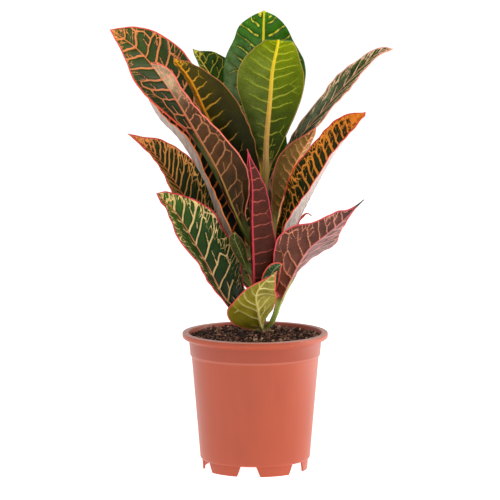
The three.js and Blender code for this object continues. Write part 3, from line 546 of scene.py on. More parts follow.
def leaf_finish(name, look, upper):
    """The waxy skin of one side of a leaf, whose veins lie in grooves above and stand out below."""
    material, nodes = blank(name)
    line, ease, times, over, math_of = nodes.line, nodes.ease, nodes.times, nodes.over, nodes.math
    place = nodes.add("UVMap", uv_map="Blade")
    mesh = nodes.add("UVMap", uv_map="Meshes")
    reach = nodes.fact("reach")

    # Clouds about 12 mm across, patches of 4 mm and a grain of 1.5 mm.
    cloud, patch, grain = nodes.noise(place, 8.0, 3.0), nodes.noise(place, 25.0), nodes.noise(place, 66.0)

    # The side veins' edges wander by 0.2 mm.
    vein = math_of("SUBTRACT", math_of("MULTIPLY_ADD", grain, 0.8, nodes.fact("vein")), 0.4)

    # Large meshes between the side veins, one unit of their own coordinates each, and streaks along them.
    cells = nodes.cells(mesh, bend=0.14, wander=1.6, detail=2.0, scale=1.0, loose=0.8)
    wide = times(times(ease(patch, *MIDDLE, 0.5, 1.35), nodes.fact("web")), look["web"] / 16)
    web = math_of("SUBTRACT", cells, wide)
    streaks = nodes.noise(nodes.add("Mapping", {"Vector": mesh, "Scale": (12.0, 1.4, 1.0)}), 1.0)

    # Fine meshes of about 3 mm.
    small = nodes.cells(place, bend=0.02, wander=30.0, detail=1.0, scale=30.0, loose=1.0)
    wide = times(times(ease(patch, 0.35, 0.6), nodes.fact("net")), 0.13 * look["net"])
    fine = math_of("SUBTRACT", small, wide)

    # The ground, itself darker at the foot partly as painted shade, takes the wash colour in patches: a real
    # paler part on some leaves, a painted sheen on others and a painted shade on the purple front leaf. Its
    # tone varies. It is darker beside the veins above, and paler below.
    sheen = times(ease(cloud, *MIDDLE, 0.6, 1.0), ease(streaks, *MIDDLE, 0.7, 1.0))
    skin = over(nodes.blended(reach, look["ground"]), linear(look["wash"]), times(nodes.fact("wash"), sheen))
    tone = line(cloud, *MIDDLE, 1.0 - 0.5 * look["mottle"], 1.0 + 0.5 * look["mottle"])
    tone = times(tone, line(streaks, *MIDDLE, 0.86, 1.16))
    tone = times(tone, line(grain, *MIDDLE, 0.82, 1.2))
    skin = nodes.scaled(nodes.scaled(skin, tone), ease(vein, 0.2, 2.2, 0.6 if upper else 1.15, 1.0))

    # The meshes and the side veins, which fall into dashes.
    tint = nodes.scaled(nodes.blended(reach, look["vein"]), ease(patch, *MIDDLE, 0.8, 1.12))
    whole = 1.0 - look["broken"]
    skin = over(skin, tint, times(ease(fine, 0.0, -0.03), 0.9))
    skin = over(skin, tint, times(ease(web, 0.0, -0.03), ease(patch, 0.3, 0.5, whole, 1.0)))
    skin = over(skin, tint, times(ease(vein, 0.25, -0.15), ease(patch, 0.46, 0.56, 1.0, whole)))

    # The tip flushes with the veins' colour, in patches. Then come midrib, margin, stalk and withered tip.
    height = math_of("MULTIPLY_ADD", patch, 0.3, reach)
    skin = over(skin, tint, ease(height, 1.13 - look["flush"], 1.17 - look["flush"] * 0.7))
    skin = over(skin, nodes.blended(reach, look["rib"]), ease(nodes.fact("rib"), 0.25, -0.2))
    rim = look["margin_width"]
    skin = over(skin, linear(look["margin"]), ease(nodes.fact("edge"), rim + 0.25, rim - 0.2))
    skin = over(skin, linear(look["stalk"]), nodes.fact("stalk"))
    skin = over(skin, linear(WITHERED), nodes.fact("dry"))

    # Relief in millimetres: the veins' grooves or ridges, the domes between them, the streaks and the grain.
    way = 1.0 if upper else -0.6
    dome = times(ease(cells, 0.0, 0.3), times(nodes.fact("web"), 0.7 * way if look["web"] else 0.0))
    relief = math_of("ADD", ease(vein, -0.2, 1.6, -0.45 * way, 0.0), dome)
    relief = math_of("MULTIPLY_ADD", streaks, 0.3, relief)
    relief = math_of("MULTIPLY_ADD", grain, 0.12, relief)
    rough = line(cloud, *MIDDLE, look["rough"] - 0.06, look["rough"] + 0.1)
    nodes.coat({"Base Color": skin, "Roughness": rough, "Normal": nodes.bump(relief, 0.8, 0.0008),
                "IOR": 1.45, "Specular IOR Level": look["shine"]})
    return material


def pot_finish():
    """Injection-moulded polypropylene, dyed terracotta: an even satin skin with a faint orange peel, slightly
    cloudy from the dye, with painted shade on the collar under the rim and a painted highlight on the rim's
    top and at the collar's foot."""
    material, nodes = blank("moulded_polypropylene_terracotta")
    place = nodes.place()
    # Clouds in the dye, drawn out along the flow of the plastic, 60 mm by 20 mm.
    cloud = nodes.noise(nodes.add("Mapping", {"Vector": place, "Scale": (50.0, 50.0, 16.0)}), 1.0, 4.0)
    skin = linear(bpy.context.scene.croton_pot.colour)[:3]
    skin = nodes.scaled(skin, nodes.line(cloud, *MIDDLE, 0.94, 1.07))
    # The collar is darkened with painted shade from the rim above it. Its foot gets a faint painted highlight
    # line, and the rim's top a stronger one, a painted reflection of the white surroundings at a grazing
    # angle.
    height = nodes.add("SeparateXYZ", {"Vector": place}, out="Z")
    for low, high, colour, amount in ((103.6, 115.8, COLLAR_SHADE, 0.42), (101.8, 103.6, PAINTED_HIGHLIGHT, 0.1)):
        band = nodes.math("COMPARE", height, (low + high) / 2 * MM, (high - low) / 2 * MM)
        skin = nodes.over(skin, linear(colour), nodes.times(band, amount))
    skin = nodes.over(skin, linear(PAINTED_HIGHLIGHT), nodes.line(height, 122.0 * MM, 122.7 * MM, 0.0, 0.6))
    # Orange peel of about 1.2 mm, drawn coarser than the real one so that it shows.
    peel = nodes.bump(nodes.noise(place, 800.0), 0.25, 0.0001)
    nodes.coat({"Base Color": skin, "Roughness": nodes.line(cloud, 0.0, 1.0, 0.34, 0.44), "Normal": peel,
                "IOR": 1.49, "Specular IOR Level": 0.5})
    return material


def soil_finish():
    """Moist peat with bark: nearly black in the gaps, red-brown crumbs and a few tan fibres."""
    material, nodes = blank("moist_peat")
    place = nodes.place()
    # A grain of about 1 mm, and specks of 2 mm where no loose crumb lies.
    grain, specks = nodes.noise(place, 900.0, 4.0), nodes.noise(place, 420.0)
    dryness = nodes.math("MULTIPLY_ADD", specks, 0.5, nodes.fact("dryness"))
    skin = nodes.blended(nodes.math("SUBTRACT", dryness, 0.18), PEAT)
    nodes.coat({"Base Color": skin, "Roughness": 0.75, "Normal": nodes.bump(grain, 0.9, 0.0008), "IOR": 1.4,
                "Specular IOR Level": 0.3})
    return material


def stem_finish():
    """Green-brown young bark with corky leaf scars."""
    material, nodes = blank("young_bark")
    # Streaks along the stem, 1.5 mm wide and 12 mm long.
    streaks = nodes.add("Mapping", {"Vector": nodes.place(), "Scale": (660.0, 660.0, 80.0)})
    grain = nodes.noise(streaks, 1.0, 4.0)
    skin = nodes.blended(nodes.line(grain, 0.35, 0.65), BARK)
    skin = nodes.over(skin, linear(CORK), nodes.fact("scar"))
    nodes.coat({"Base Color": skin, "Roughness": 0.6, "Normal": nodes.bump(grain, 0.6, 0.0005), "IOR": 1.45})
    return material


def read_along(wanted, known, vectors):
    """Vectors that are known at some places, read at others."""
    return np.stack([np.interp(wanted, known, vectors[:, i]) for i in range(3)], -1)


def curve_through(points, count):
    """A smooth curve through the points: places evenly spaced on it, its directions there and its length."""
    known = np.array(points, float)
    ends = np.vstack([2 * known[0] - known[1], known, 2 * known[-1] - known[-2]])
    t = np.linspace(0, 1, 80, endpoint=False)[:, None]
    parts = []
    for a, b, c, d in zip(ends, ends[1:], ends[2:], ends[3:]):
        leave, arrive = (c - a) / 2, (d - b) / 2
        parts.append(b * (2 * t**3 - 3 * t**2 + 1) + leave * (t**3 - 2 * t**2 + t)
                     + c * (3 * t**2 - 2 * t**3) + arrive * (t**3 - t**2))
    dense = np.vstack([*parts, known[-1:]])
    along = np.concatenate([[0], np.cumsum(np.linalg.norm(np.diff(dense, axis=0), axis=1))])
    places = read_along(np.linspace(0, along[-1], count), along, dense)
    ways = np.gradient(places, axis=0)
    return places, ways / np.linalg.norm(ways, axis=1, keepdims=True), along[-1]


STEM = curve_through(STEM_PATH, 400)[0]


def stem_at(height):
    """The stem's centre at a height, in millimetres."""
    return read_along(height, STEM[:, 2], STEM)


def smooth(pairs, u):
    """A smooth curve through (place, value) pairs that starts and ends at zero."""
    x, y = np.array([(0, 0), *pairs, (1, 0)], float).T
    slopes = np.empty_like(y)
    slopes[1:-1] = (y[2:] - y[:-2]) / (x[2:] - x[:-2])
    slopes[0], slopes[-1] = (y[1] - y[0]) / (x[1] - x[0]), (y[-1] - y[-2]) / (x[-1] - x[-2])
    i = np.clip(np.searchsorted(x, u, side="right") - 1, 0, len(x) - 2)
    step = x[i + 1] - x[i]
    t = (u - x[i]) / step
    return (y[i] + (y[i + 1] - y[i]) * t * t * (3 - 2 * t)
            + slopes[i] * step * t * (1 - t) ** 2 - slopes[i + 1] * step * t * t * (1 - t))


def step_up(low, high, value):
    """0 below low, 1 above high and smooth between them."""
    t = np.clip((value - low) / (high - low), 0, 1)
    return t * t * (3 - 2 * t)


def side_veins(leaf, length, width_at):
    """A leaf's side veins as polylines of (along, across, half width), in millimetres on the flat blade."""
    how = leaf["veins"]
    chance = random.Random(how["seed"])
    lean = slant(how)
    last, least_room = 0.965 * length, 4.5
    found = []
    for side in (-1, 1):
        start = length * chance.uniform(0.13, 0.16)
        ends = []
        while start < last:
            along = start / length
            room = width_at(side, along)
            gap = how["gap"] * (1 - 0.35 * along) * chance.uniform(0.8, 1.2)
            if room > least_room:
                tilt = lean * chance.uniform(0.85, 1.15) * (0.8 + 0.5 * along)
                reach = min(1.0, how["reach"] * how["sides"][side > 0] * chance.uniform(0.8, 1.12))
                thick = how["width"] / 2 * chance.uniform(0.75, 1.2) * (0.7 + 0.3 * min(1, room / 20))
                # The vein bends to the tip, stays within the blade and wanders a little.
                line = []
                for k in range(9):
                    y = room * (how["start"] + (reach - how["start"]) * k / 8)
                    x = start + tilt * y + how["bend"] * y * y / room
                    y *= min(1.0, width_at(side, min(1, x / length)) / room + 0.25)
                    x += 0.45 * math.sin(1.3 * k + start)
                    line.append((x, side * y, thick * (1 - how["taper"] * k / 8)))
                found.append(line)
                x, y, thick = line[-1]
                ends.append((x, y, thick, room))
                if chance.random() < how["fork"]:
                    far = min(0.93, reach + chance.uniform(0.12, 0.24)) / reach
                    for way in (-1, 1):
                        found.append([line[-1],
                                      (x + way * 0.22 * gap + tilt, y * (1 + far) / 2, thick * 0.9),
                                      (x + way * 0.45 * gap + 2 * tilt, y * far, thick * 0.6)])
            start += gap
        # Loops join the ends of neighbours. Twigs run from the loops to the margin, and between the veins.
        for (x, y, thick, room), (next_x, next_y, next_thick, _) in zip(ends, ends[1:]):
            half_way = (x + next_x) / 2
            if chance.random() < how["loop"] * how["loops"][y > 0]:
                out = 1 + chance.uniform(0.1, 0.3)
                x_out, y_out = half_way + lean * (out - 1) * abs(y), (y + next_y) / 2 * out
                middle = (x_out, y_out, thick * 0.9)
                found.append([(x, y, thick), middle, (next_x, next_y, next_thick)])
                if chance.random() < how["twigs"]:
                    rest = 0.97 * room - abs(y_out)
                    found.append([middle, (x_out + lean * rest, y_out + side * rest, 0.35)])
            if chance.random() < how["twigs"]:
                share = chance.uniform(0.4, 0.7)
                found.append([(x - (1 - share) * abs(y) * lean, y * share, thick * 0.7),
                              (half_way - (0.9 - share) * abs(y) * lean, y * (share + 0.12), 0.3)])
    return found


def slant(how):
    """How far a side vein runs on for each millimetre across."""
    return 1 / math.tan(math.radians(how["angle"]))


def near_lines(x, y, lines):
    """How far each place is outside the nearest line's edge, in millimetres. Only lines within 6 mm count."""
    nearest = np.full(x.shape, 8.0)
    for line in lines:
        for (x0, y0, w0), (x1, y1, w1) in zip(line, line[1:]):
            close = ((x > min(x0, x1) - 6) & (x < max(x0, x1) + 6)
                     & (y > min(y0, y1) - 6) & (y < max(y0, y1) + 6))
            if not close.any():
                continue
            dx, dy = x1 - x0, y1 - y0
            t = np.clip(((x[close] - x0) * dx + (y[close] - y0) * dy) / max(dx * dx + dy * dy, 1e-9), 0, 1)
            away = np.hypot(x[close] - x0 - t * dx, y[close] - y0 - t * dy) - (w0 + (w1 - w0) * t)
            nearest[close] = np.minimum(nearest[close], away)
    return nearest


def leaf_axis(leaf, rows):
    """The rows of a leaf: their shares of its length, their midrib places, and the ways up and sideways.

    Also where the leaf leaves the stem, as a share, and its length in millimetres.
    """
    count = 600
    places, ways, length = curve_through([stem_at(leaf["at"]), *leaf["rib"]], count)
    shares = np.linspace(0, 1, count)
    # The blade starts inside the stem's skin, where the stalk grows from it.
    low, high = STEM_PATH[0][2], STEM_PATH[-1][2]
    radius = STEM_FOOT + (STEM_TIP - STEM_FOOT) * (leaf["at"] - low) / (high - low)
    off = np.array([np.linalg.norm((p - stem_at(p[2]))[:2]) for p in places[:count // 3]])
    first = shares[int(np.argmax(off > radius - 0.6))]
    u = first + (1 - first) * (1 - (1 - np.linspace(0, 1, rows)) ** CROWDING)
    ahead = read_along(u, shares, ways)
    ahead /= np.linalg.norm(ahead, axis=1, keepdims=True)
    towards = np.array(leaf["towards"], float)
    up = towards - (ahead @ towards)[:, None] * ahead
    up /= np.linalg.norm(up, axis=1, keepdims=True)
    foot, mid, tip = leaf["turn"]
    turn = np.radians(foot * (1 - u) * (1 - 2 * u) + mid * 4 * u * (1 - u) + tip * u * (2 * u - 1))[:, None]
    up = up * np.cos(turn) + np.cross(ahead, up) * np.sin(turn)
    return u, read_along(u, shares, places), up, np.cross(ahead, up), first, length


def markings(leaf, share, q, sign):
    """How strongly the large meshes, the fine ones and the wash, with its painted sheen and shade, show at
    each place.
    """
    low_rib, low_margin, high_rib, high_margin = leaf["veins"]["web"]
    grow = step_up(0.35, 0.85, share)
    outer = np.maximum(step_up(0.45, 0.75, q), step_up(0.86, 0.94, share))
    at_rib, at_margin = low_rib + (high_rib - low_rib) * grow, low_margin + (high_margin - low_margin) * grow
    net = np.clip(step_up(0.35, 0.95, q) * (0.3 + 0.9 * share ** 2) + 0.8 * step_up(0.7, 1, share), 0, 1)
    left, right, start, end = leaf.get("wash", (0, 0, 0, 0))
    if left == right == 0 and end:
        wash = 0.9 * step_up(start, end, share)
    else:
        wash = np.where(sign < 0, left, right) * step_up(start - 0.1, start + 0.1, share)
        wash = wash * (1 - step_up(end - 0.1, end + 0.1, share)) if end < 1 else wash
    return at_rib * (1 - outer) + at_margin * outer, net, wash


def leaf_shape(leaf, rows, half):
    """The places of a leaf's upper and lower points, in millimetres, and what its finish reads there."""
    shared = bpy.context.scene.croton_leaf
    u, origin, up, side, first, length = leaf_axis(leaf, rows)
    pairs = {-1: leaf["left"], 1: leaf.get("right", leaf["left"])}
    widest = max(w for _, w in leaf["left"])
    stalk = (STALK_FOOT + (STALK_TIP - STALK_FOOT) * u)[:, None]

    # Rows run from foot to tip and columns from margin to margin; q goes from 0 at the midrib to 1.
    v = np.linspace(-1, 1, 2 * half + 1)
    sign = np.where(v < 0, -1.0, 1.0)[None, :]
    q = (np.abs(v) ** CROWDING)[None, :]
    wide = {s: np.maximum(stalk, smooth(pairs[s], u)[:, None]) for s in (-1, 1)}
    width = np.where(sign < 0, wide[-1], wide[1])
    fold = np.radians(leaf["fold"]) * np.minimum(1, width / 8)
    across = width * q
    x, y = np.broadcast_to((u * length)[:, None], across.shape), sign * across
    lines = side_veins(leaf, length, lambda s, share: max(STALK_FOOT, float(smooth(pairs[s], share))))
    vein = near_lines(x.ravel(), y.ravel(), lines).reshape(x.shape)
    margin = (1 - q) * width

    # Swelling between the side veins, ripples and a slow wave at the margin.
    chance = random.Random(leaf["veins"]["seed"])
    shift, bend = chance.uniform(0, 6.28), chance.uniform(0, 6.28)
    height, rate, phase = leaf["wave"]
    sway = np.sin(2 * np.pi * (rate * u[:, None] + phase + sign / 4))
    ripple = shared.ripple / MM * q**3 * np.sin(x / 2.6 + shift + 2 * np.sin(x / 11 + bend))
    blade = np.clip((width - stalk) / 5, 0, 1)
    between = step_up(0, 3.0, np.minimum(vein, across)) - 0.5
    swell = shared.quilting / MM * blade * between * step_up(0, 3, margin)

    # Both halves rise from a rounded crease, and the midrib is a ridge below and a channel above.
    crease = 1.4
    rise = (np.hypot(across, crease) - crease) * np.sin(fold)
    rise = rise + (height * sway * q * across) / widest + blade * ripple
    lean = fold * step_up(0, 2.5, across)
    centre = origin[:, None] + side[:, None] * (y * np.cos(fold))[..., None] + up[:, None] * rise[..., None]
    normal = up[:, None] * np.cos(lean)[..., None] - side[:, None] * (sign * np.sin(lean))[..., None]
    rounded = stalk * (1 - 0.7 * q * q)
    thick = shared.thickness / MM / 2
    ridge = 1.2 * (1 - 0.6 * u[:, None]) * np.clip(1 - (across / 2.2) ** 2, 0, 1) ** 2
    channel = 0.35 * blade * np.clip(1 - (across / 1.8) ** 2, 0, 1) ** 2
    cord = 0.12 * step_up(0.9, -0.3, vein) * blade * step_up(0, 2, margin)
    above = rounded + (thick - rounded) * blade - channel - cord
    below = rounded + (thick + ridge - rounded) * blade + 1.6 * cord
    upper = centre + normal * (above + swell)[..., None]
    lower = centre - normal * (below - swell)[..., None]

    share = np.broadcast_to(u[:, None], x.shape)
    grown = np.maximum(step_up(0.1, 0.6, (width - stalk) / min(widest, 12)), step_up(0.5, 0.6, share))
    web, net, wash = markings(leaf, share, q, sign)
    dry = leaf.get("dry", 2)
    facts = {"reach": share, "vein": vein + 1.5 * (1 - grown), "edge": margin + 2.0 * (1 - grown),
             "web": web * grown, "net": net * grown, "wash": wash * grown,
             "stalk": 1 - grown * step_up(first, first + 0.14, share), "dry": step_up(dry, dry + 0.03, share)}
    ribs = [across - LOOKS[look]["rib_width"] / 2 * (1.1 - 0.8 * share) for look in leaf["look"]]

    # The large meshes' own coordinates, on both sides of the midrib: along it in cells, and away from it.
    cell = leaf["veins"]["cell"]
    root = np.clip(x - slant(leaf["veins"]) * across * (0.8 + 0.5 * share), 0, 0.99 * length)
    ordinal = -np.log(1 - 0.35 * root / length) * length / (0.35 * cell)
    meshes = np.stack([ordinal, across / (1.5 * cell) + 0.3], -1)
    return upper, lower, facts, ribs, np.stack([x, y], -1), meshes


def closed(bm):
    """Joins the seams, fills the open ends, and turns the faces outwards and smooth."""
    bmesh.ops.remove_doubles(bm, verts=bm.verts, dist=1e-6)
    bmesh.ops.holes_fill(bm, edges=[e for e in bm.edges if e.is_boundary], sides=0)
    bmesh.ops.recalc_face_normals(bm, faces=bm.faces)
    for face in bm.faces:
        face.smooth = True


def creased(bm, angle):
    """Shades the edges sharp that bend by more than an angle in radians."""
    for edge in bm.edges:
        if len(edge.link_faces) == 2 and edge.calc_face_angle(0) > angle:
            edge.smooth = False


def turned(bm, section, steps):
    """Spins a section of (radius, height) in millimetres round the axis."""
    verts = [bm.verts.new((r * MM, 0, z * MM)) for r, z in section]
    edges = [bm.edges.new(pair) for pair in zip(verts, verts[1:])]
    bmesh.ops.spin(bm, geom=verts + edges, cent=(0, 0, 0), axis=(0, 0, 1), angle=2 * math.pi, steps=steps,
                   use_merge=True)
    bmesh.ops.remove_doubles(bm, verts=bm.verts, dist=1e-6)


def leaf_mesh(name, leaf, finishes):
    """One leaf as a closed skin: a grid is wrapped over its upper and round its lower side."""
    step = bpy.context.scene.croton_leaf.step / MM
    length = curve_through([stem_at(leaf["at"]), *leaf["rib"]], 50)[2]
    rows = max(30, round(length / step))
    half = max(6, round(max(w for _, w in leaf["left"] + leaf.get("right", [])) / step))
    upper, lower, facts, ribs, flat, meshes = leaf_shape(leaf, rows, half)
    across = 2 * half + 1
    ring = 2 * across

    bm = bmesh.new()
    bmesh.ops.create_grid(bm, x_segments=ring, y_segments=rows - 1, size=1)
    layers = {key: bm.verts.layers.float.new(key) for key in (*facts, "rib")}
    blade, cells = bm.loops.layers.uv.new("Blade"), bm.loops.layers.uv.new("Meshes")
    spots = {}
    for vert in bm.verts:
        column = round((vert.co.x + 1) / 2 * ring) % ring
        row = round((vert.co.y + 1) / 2 * (rows - 1))
        below = column >= across
        j = ring - 1 - column if below else column
        spots[vert] = (row, j, below)
        vert.co = (lower if below else upper)[row, j] * MM
        for key, values in facts.items():
            vert[layers[key]] = values[row, j]
        vert[layers["rib"]] = ribs[below][row, j]
    for face in bm.faces:
        corners = [spots[loop.vert] for loop in face.loops]
        left = sum(j for _, j, _ in corners) < 4 * half
        face.material_index = int(all(below for _, _, below in corners))
        for loop, (row, j, _) in zip(face.loops, corners):
            loop[blade].uv = flat[row, j] / 100 + (0, 0.5)
            loop[cells].uv = meshes[row, j] + ((17, 60) if left else (0, 0))
    closed(bm)
    creased(bm, 0.9)
    return finished(name, bm, finishes)


def finished(name, bm, materials):
    """A bmesh as an object in the scene that wears the materials."""
    mesh = bpy.data.meshes.new(name)
    bm.to_mesh(mesh)
    bm.free()
    for material in materials:
        mesh.materials.append(material)
    piece = bpy.data.objects.new(name, mesh)
    bpy.context.scene.collection.objects.link(piece)
    return piece


def place_on(piece, node):
    """Stands a piece for a node of the frame on the root body, and hides the node's own part."""
    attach(piece, "root")
    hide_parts(node)


class CROTON_OT_leaves(bpy.types.Operator):
    """Make every leaf with its veins"""

    bl_idname = "croton.leaves"
    bl_label = "Leaves"

    def execute(self, context):
        worn = {}
        for name, leaf in LEAVES.items():
            for look in leaf["look"]:
                if look not in worn:
                    worn[look] = leaf_finish(f"waxy_leaf_{look}", LOOKS[look], look.startswith("upper"))
            piece = leaf_mesh(f"{name}_veined", leaf, [worn[look] for look in leaf["look"]])
            place_on(piece, name)
        return {"FINISHED"}


class CROTON_OT_stem(bpy.types.Operator):
    """Make the stem with its leaf scars"""

    bl_idname = "croton.stem"
    bl_label = "Stem"

    def execute(self, context):
        sides, rows, tip_rows = 32, 160, 3
        bm = bmesh.new()
        bmesh.ops.create_grid(bm, x_segments=sides, y_segments=rows, size=1)
        scar = bm.verts.layers.float.new("scar")
        places = curve_through(STEM_PATH, rows + 1)[0]
        scars = [(leaf["at"], i * SCAR_TURN) for i, leaf in enumerate(LEAVES.values())] + FALLEN
        for vert in bm.verts:
            turn = (vert.co.x + 1) * math.pi
            row = round((vert.co.y + 1) / 2 * rows)
            x, y, z = places[row]
            mark = min(1, sum(math.exp(-((z - at) / 1.2) ** 2) * max(0, math.cos(turn - where)) ** 2
                              for at, where in scars))
            radius = STEM_FOOT + (STEM_TIP - STEM_FOOT) * row / rows - 0.15
            radius += 0.3 * mark + 0.2 * noise.noise(Vector((turn, z * 0.4, 3)))
            radius *= 1 if row < rows - tip_rows else (rows - row) / tip_rows
            vert.co = Vector((x + radius * math.cos(turn), y + radius * math.sin(turn), z)) * MM
            vert[scar] = mark
        closed(bm)
        place_on(finished("stem_with_scars", bm, [stem_finish()]), "stem")
        return {"FINISHED"}


def soil_level(x, y):
    """The soil's height in millimetres: the solid's heap, with clods and dips."""
    r = math.hypot(x, y) / 59.2
    lumps = math.sin(0.31 * x + 0.7) * math.cos(0.27 * y) + 0.6 * math.sin(0.53 * y - 0.4 * x + 1.9)
    clods = noise.noise(Vector((x * 0.22, y * 0.22, 7))) + 0.6 * noise.noise(Vector((x * 0.6, y * 0.6, 2)))
    return 119.2 + 2.2 * (1 - r * r) + 0.9 * lumps * (1 - 0.6 * r) + 0.9 * clods


def scattered(chance, radius):
    """A chance place in a circle."""
    r, turn = radius * math.sqrt(chance.random()), chance.uniform(0, 2 * math.pi)
    return r * math.cos(turn), r * math.sin(turn)


def strewn(bm, made, x, y, raised, limit):
    """Adds a small part, in its own bmesh, at a place on the soil. It is raised in metres, up to a limit."""
    height = min(soil_level(x, y) * MM + raised, limit)
    bmesh.ops.translate(made, verts=made.verts, vec=(x * MM, y * MM, height))
    held = bpy.data.meshes.new("part")
    made.to_mesh(held)
    made.free()
    bm.from_mesh(held)
    bpy.data.meshes.remove(held)


class CROTON_OT_soil(bpy.types.Operator):
    """Make the soil with its crumbs and fibres"""

    bl_idname = "croton.soil"
    bl_label = "Soil"

    def execute(self, context):
        settings = context.scene.croton_soil
        chance = random.Random(5)
        bm = bmesh.new()
        bm.verts.layers.float.new("dryness")
        # The soil fills the pot from its floor up, so close to the wall that no light from below passes. The
        # loose parts stay below the rim.
        level, edge, rings, gap = 119.0, 57.0, 70, 0.2
        below_rim = 122.2 * MM
        section = [(edge * i / rings, level) for i in range(rings + 1)] + [(58.4, level)]
        section += [(r - gap, z + gap) for r, z in POT_INSIDE[2:-1]] + [(0.0, POT_INSIDE[-1][1] + gap)]
        turned(bm, section, 144)
        for vert in bm.verts:
            if vert.co.z > (level - 1) * MM:
                vert.co.z = soil_level(vert.co.x / MM, vert.co.y / MM) * MM
        closed(bm)

        for _ in range(settings.crumbs):
            x, y = scattered(chance, edge * 0.985)
            size = settings.crumb_size * chance.uniform(0.5, 1.5) * (1.6 if chance.random() < 0.12 else 1)
            crumb = bmesh.new()
            tone = crumb.verts.layers.float.new("dryness")
            bmesh.ops.create_icosphere(crumb, subdivisions=1, radius=size)
            lit = 0.9 * chance.random() ** 2
            for vert in crumb.verts:
                vert.co *= chance.uniform(0.65, 1.3)
                vert[tone] = lit
            flat = (1, chance.uniform(0.6, 1), chance.uniform(0.5, 0.9))
            bmesh.ops.scale(crumb, verts=crumb.verts, vec=flat)
            bmesh.ops.rotate(crumb, verts=crumb.verts, matrix=Matrix.Rotation(chance.uniform(0, 6.3), 3, "Z"))
            strewn(bm, crumb, x, y, size * 0.3, below_rim)
        for _ in range(settings.fibres):
            x, y = scattered(chance, edge * 0.97)
            shred = bmesh.new()
            tone = shred.verts.layers.float.new("dryness")
            bmesh.ops.create_cone(shred, segments=4, radius1=0.22 * MM, radius2=0.12 * MM,
                                  depth=chance.uniform(2 * MM, 5 * MM), cap_ends=True)
            lie = Matrix.Rotation(chance.uniform(0, 6.3), 3, "Z") @ Matrix.Rotation(
                math.radians(chance.uniform(65, 100)), 3, "X")
            bmesh.ops.rotate(shred, verts=shred.verts, matrix=lie)
            for vert in shred.verts:
                vert[tone] = chance.uniform(0.6, 1)
            strewn(bm, shred, x, y, 0.7 * MM, below_rim - 0.2 * MM)
        place_on(finished("soil_with_crumbs", bm, [soil_finish()]), "soil")
        return {"FINISHED"}


def drain_hole(cuts, x, y):
    """Adds what cuts a drain hole through the pot's floor, at a place in millimetres."""
    r, depth = DRAIN_RADIUS * MM, DRAIN_DEPTH * MM
    made = bmesh.ops.create_cone(cuts, segments=32, radius1=r, radius2=r, depth=depth, cap_ends=True)
    bmesh.ops.translate(cuts, verts=made["verts"], vec=(x * MM, y * MM, DRAIN_HEIGHT * MM))


def notches_and_holes():
    """What is cut out of the pot: the notches between its feet and the drain holes."""
    cuts = bmesh.new()
    for i in range(FEET):
        bearing = math.radians(FIRST_FOOT + 360 / FEET * (i + 0.5))
        for vert in bmesh.ops.create_cube(cuts, size=1)["verts"]:
            high = vert.co.z > 0
            angle = bearing + math.radians(NOTCH_TOP if high else NOTCH_SOLE) * (1 if vert.co.x > 0 else -1)
            r = (NOTCH_OUTSIDE if vert.co.y > 0 else NOTCH_INSIDE) * MM
            vert.co = (r * math.sin(angle), -r * math.cos(angle), (NOTCH_HEIGHT if high else -1) * MM)
        drain_hole(cuts, DRAIN_RING * math.sin(bearing), -DRAIN_RING * math.cos(bearing))
    drain_hole(cuts, 0, 0)
    bmesh.ops.recalc_face_normals(cuts, faces=cuts.faces)
    return finished("notches", cuts, [])


class CROTON_OT_pot(bpy.types.Operator):
    """Make the pot with its rim, collar and feet"""

    bl_idname = "croton.pot"
    bl_label = "Pot"

    def execute(self, context):
        settings = context.scene.croton_pot
        bm = bmesh.new()
        turned(bm, POT_FEET + POT_OUTSIDE + POT_INSIDE, settings.steps)
        closed(bm)
        shell = finished("nursery_pot", bm, [pot_finish()])
        cutter = notches_and_holes()
        cut = shell.modifiers.new("feet", "BOOLEAN")
        cut.operation, cut.object, cut.solver = "DIFFERENCE", cutter, "EXACT"
        whole = bpy.data.meshes.new_from_object(shell.evaluated_get(context.evaluated_depsgraph_get()))
        shell.modifiers.remove(cut)
        shell.data = whole
        bpy.data.objects.remove(cutter)

        bm = bmesh.new()
        bm.from_mesh(whole)
        bmesh.ops.dissolve_degenerate(bm, edges=bm.edges, dist=1e-5)
        # The edges of the collar and the rim are rounded.
        below_collar = 95 * MM
        sharp = [e for e in bm.edges if len(e.link_faces) == 2 and e.calc_face_angle(0) > 0.5
                 and max(v.co.z for v in e.verts) > below_collar]
        bmesh.ops.bevel(bm, geom=sharp, offset=settings.rounding, offset_type="OFFSET", affect="EDGES",
                        segments=2, profile=0.5, material=-1)
        for face in bm.faces:
            face.smooth = True
        creased(bm, 0.6)
        bm.to_mesh(whole)
        bm.free()
        place_on(shell, "pot")
        return {"FINISHED"}


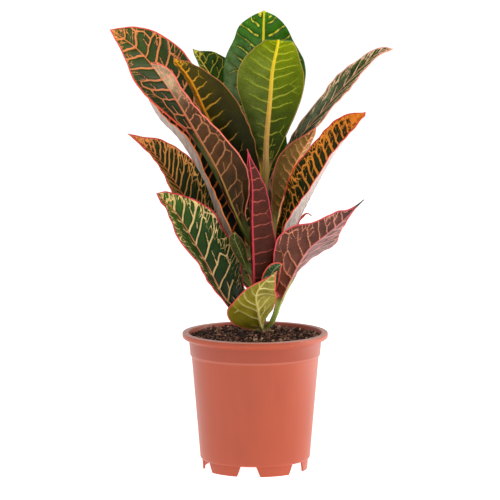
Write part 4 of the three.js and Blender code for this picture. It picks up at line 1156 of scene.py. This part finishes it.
class CROTON_OT_stage(bpy.types.Operator):
    """Set the floor, the soft lights and the camera"""

    bl_idname = "croton.stage"
    bl_label = "Stage"

    def execute(self, context):
        settings = context.scene.croton_stage
        # The table's top lies 0.3 mm below the feet.
        bm = bmesh.new()
        bmesh.ops.create_grid(bm, x_segments=1, y_segments=1, size=30)
        bmesh.ops.translate(bm, verts=bm.verts, vec=(0, 0, -0.3 * MM))
        material, nodes = blank("lit_acrylic_table")
        place = nodes.place()
        tone = nodes.over(linear("#f7f7f6"), linear("#fbfbfb"), nodes.noise(place, 2.0))
        lit = TABLE_LIGHT
        for spot, near, far, glow in GLOWS:
            away = nodes.add("VectorMath", {0: place, 1: spot}, out="Value", operation="DISTANCE")
            lit = nodes.ease(away, near, far, glow, lit)
        nodes.coat({"Base Color": tone, "Roughness": 0.9, "Specular IOR Level": 0.1,
                    "Emission Color": linear("#ffffff"), "Emission Strength": lit})
        finished("floor", bm, [material])

        # The studio is darker behind the camera, so that the leaves that face it keep their colour.
        world = bpy.data.worlds.new("daylight")
        nodes = Nodes(world)
        way = nodes.add("SeparateXYZ", {"Vector": nodes.add("TexCoord", out="Generated")}, out="Y")
        light = nodes.ease(way, -1.0, -0.2, 0.12, settings.daylight)
        sky = nodes.add("Background", {"Color": (1, 1, 1, 1), "Strength": light})
        nodes.add("OutputWorld", {"Surface": sky})
        context.scene.world = world
        for name, (power, size, colour, spot) in LAMPS.items():
            light = bpy.data.lights.new(name, "AREA")
            light.energy, light.size, light.color = getattr(settings, power), size, colour
            lamp = bpy.data.objects.new(name, light)
            lamp.location = spot
            lamp.rotation_mode = "QUATERNION"
            lamp.rotation_quaternion = (Vector(LIT_SPOT) - Vector(spot)).to_track_quat("-Z", "Y")
            context.scene.collection.objects.link(lamp)

        eye = bpy.data.cameras.new("camera")
        eye.lens, eye.sensor_width = settings.lens, 36
        camera = bpy.data.objects.new("camera", eye)
        camera.location = EYE
        camera.rotation_euler = (math.pi / 2 - LOOK_DOWN, 0, 0)
        context.scene.collection.objects.link(camera)
        context.scene.camera = camera
        context.scene.view_settings.view_transform = "Standard"
        return {"FINISHED"}


class CROTON_PT_panel(bpy.types.Panel):
    """Sizes and colours of the croton, and what makes its pieces"""

    bl_idname = "CROTON_PT_panel"
    bl_label = "Potted croton"
    bl_space_type = "VIEW_3D"
    bl_region_type = "UI"
    bl_category = "Croton"

    def draw(self, context):
        for group in GROUPS:
            settings = getattr(context.scene, group)
            box = self.layout.box()
            for key in settings.__annotations__:
                box.prop(settings, key)
        for operator in OPERATORS:
            self.layout.operator(operator.bl_idname)


GROUPS = {"croton_pot": PotSettings, "croton_soil": SoilSettings, "croton_leaf": LeafSettings,
          "croton_stage": StageSettings}
OPERATORS = (CROTON_OT_pot, CROTON_OT_soil, CROTON_OT_stem, CROTON_OT_leaves, CROTON_OT_stage)
CLASSES = (*GROUPS.values(), *OPERATORS, CROTON_PT_panel)


def register():
    for kind in CLASSES:
        bpy.utils.register_class(kind)
    for name, group in GROUPS.items():
        setattr(bpy.types.Scene, name, bpy.props.PointerProperty(type=group))


def unregister():
    for name in GROUPS:
        delattr(bpy.types.Scene, name)
    for kind in reversed(CLASSES):
        bpy.utils.unregister_class(kind)


def main():
    register()
    bpy.ops.croton.pot()
    bpy.ops.croton.soil()
    bpy.ops.croton.stem()
    bpy.ops.croton.leaves()
    bpy.ops.croton.stage()


if __name__ == "__main__":
    main()
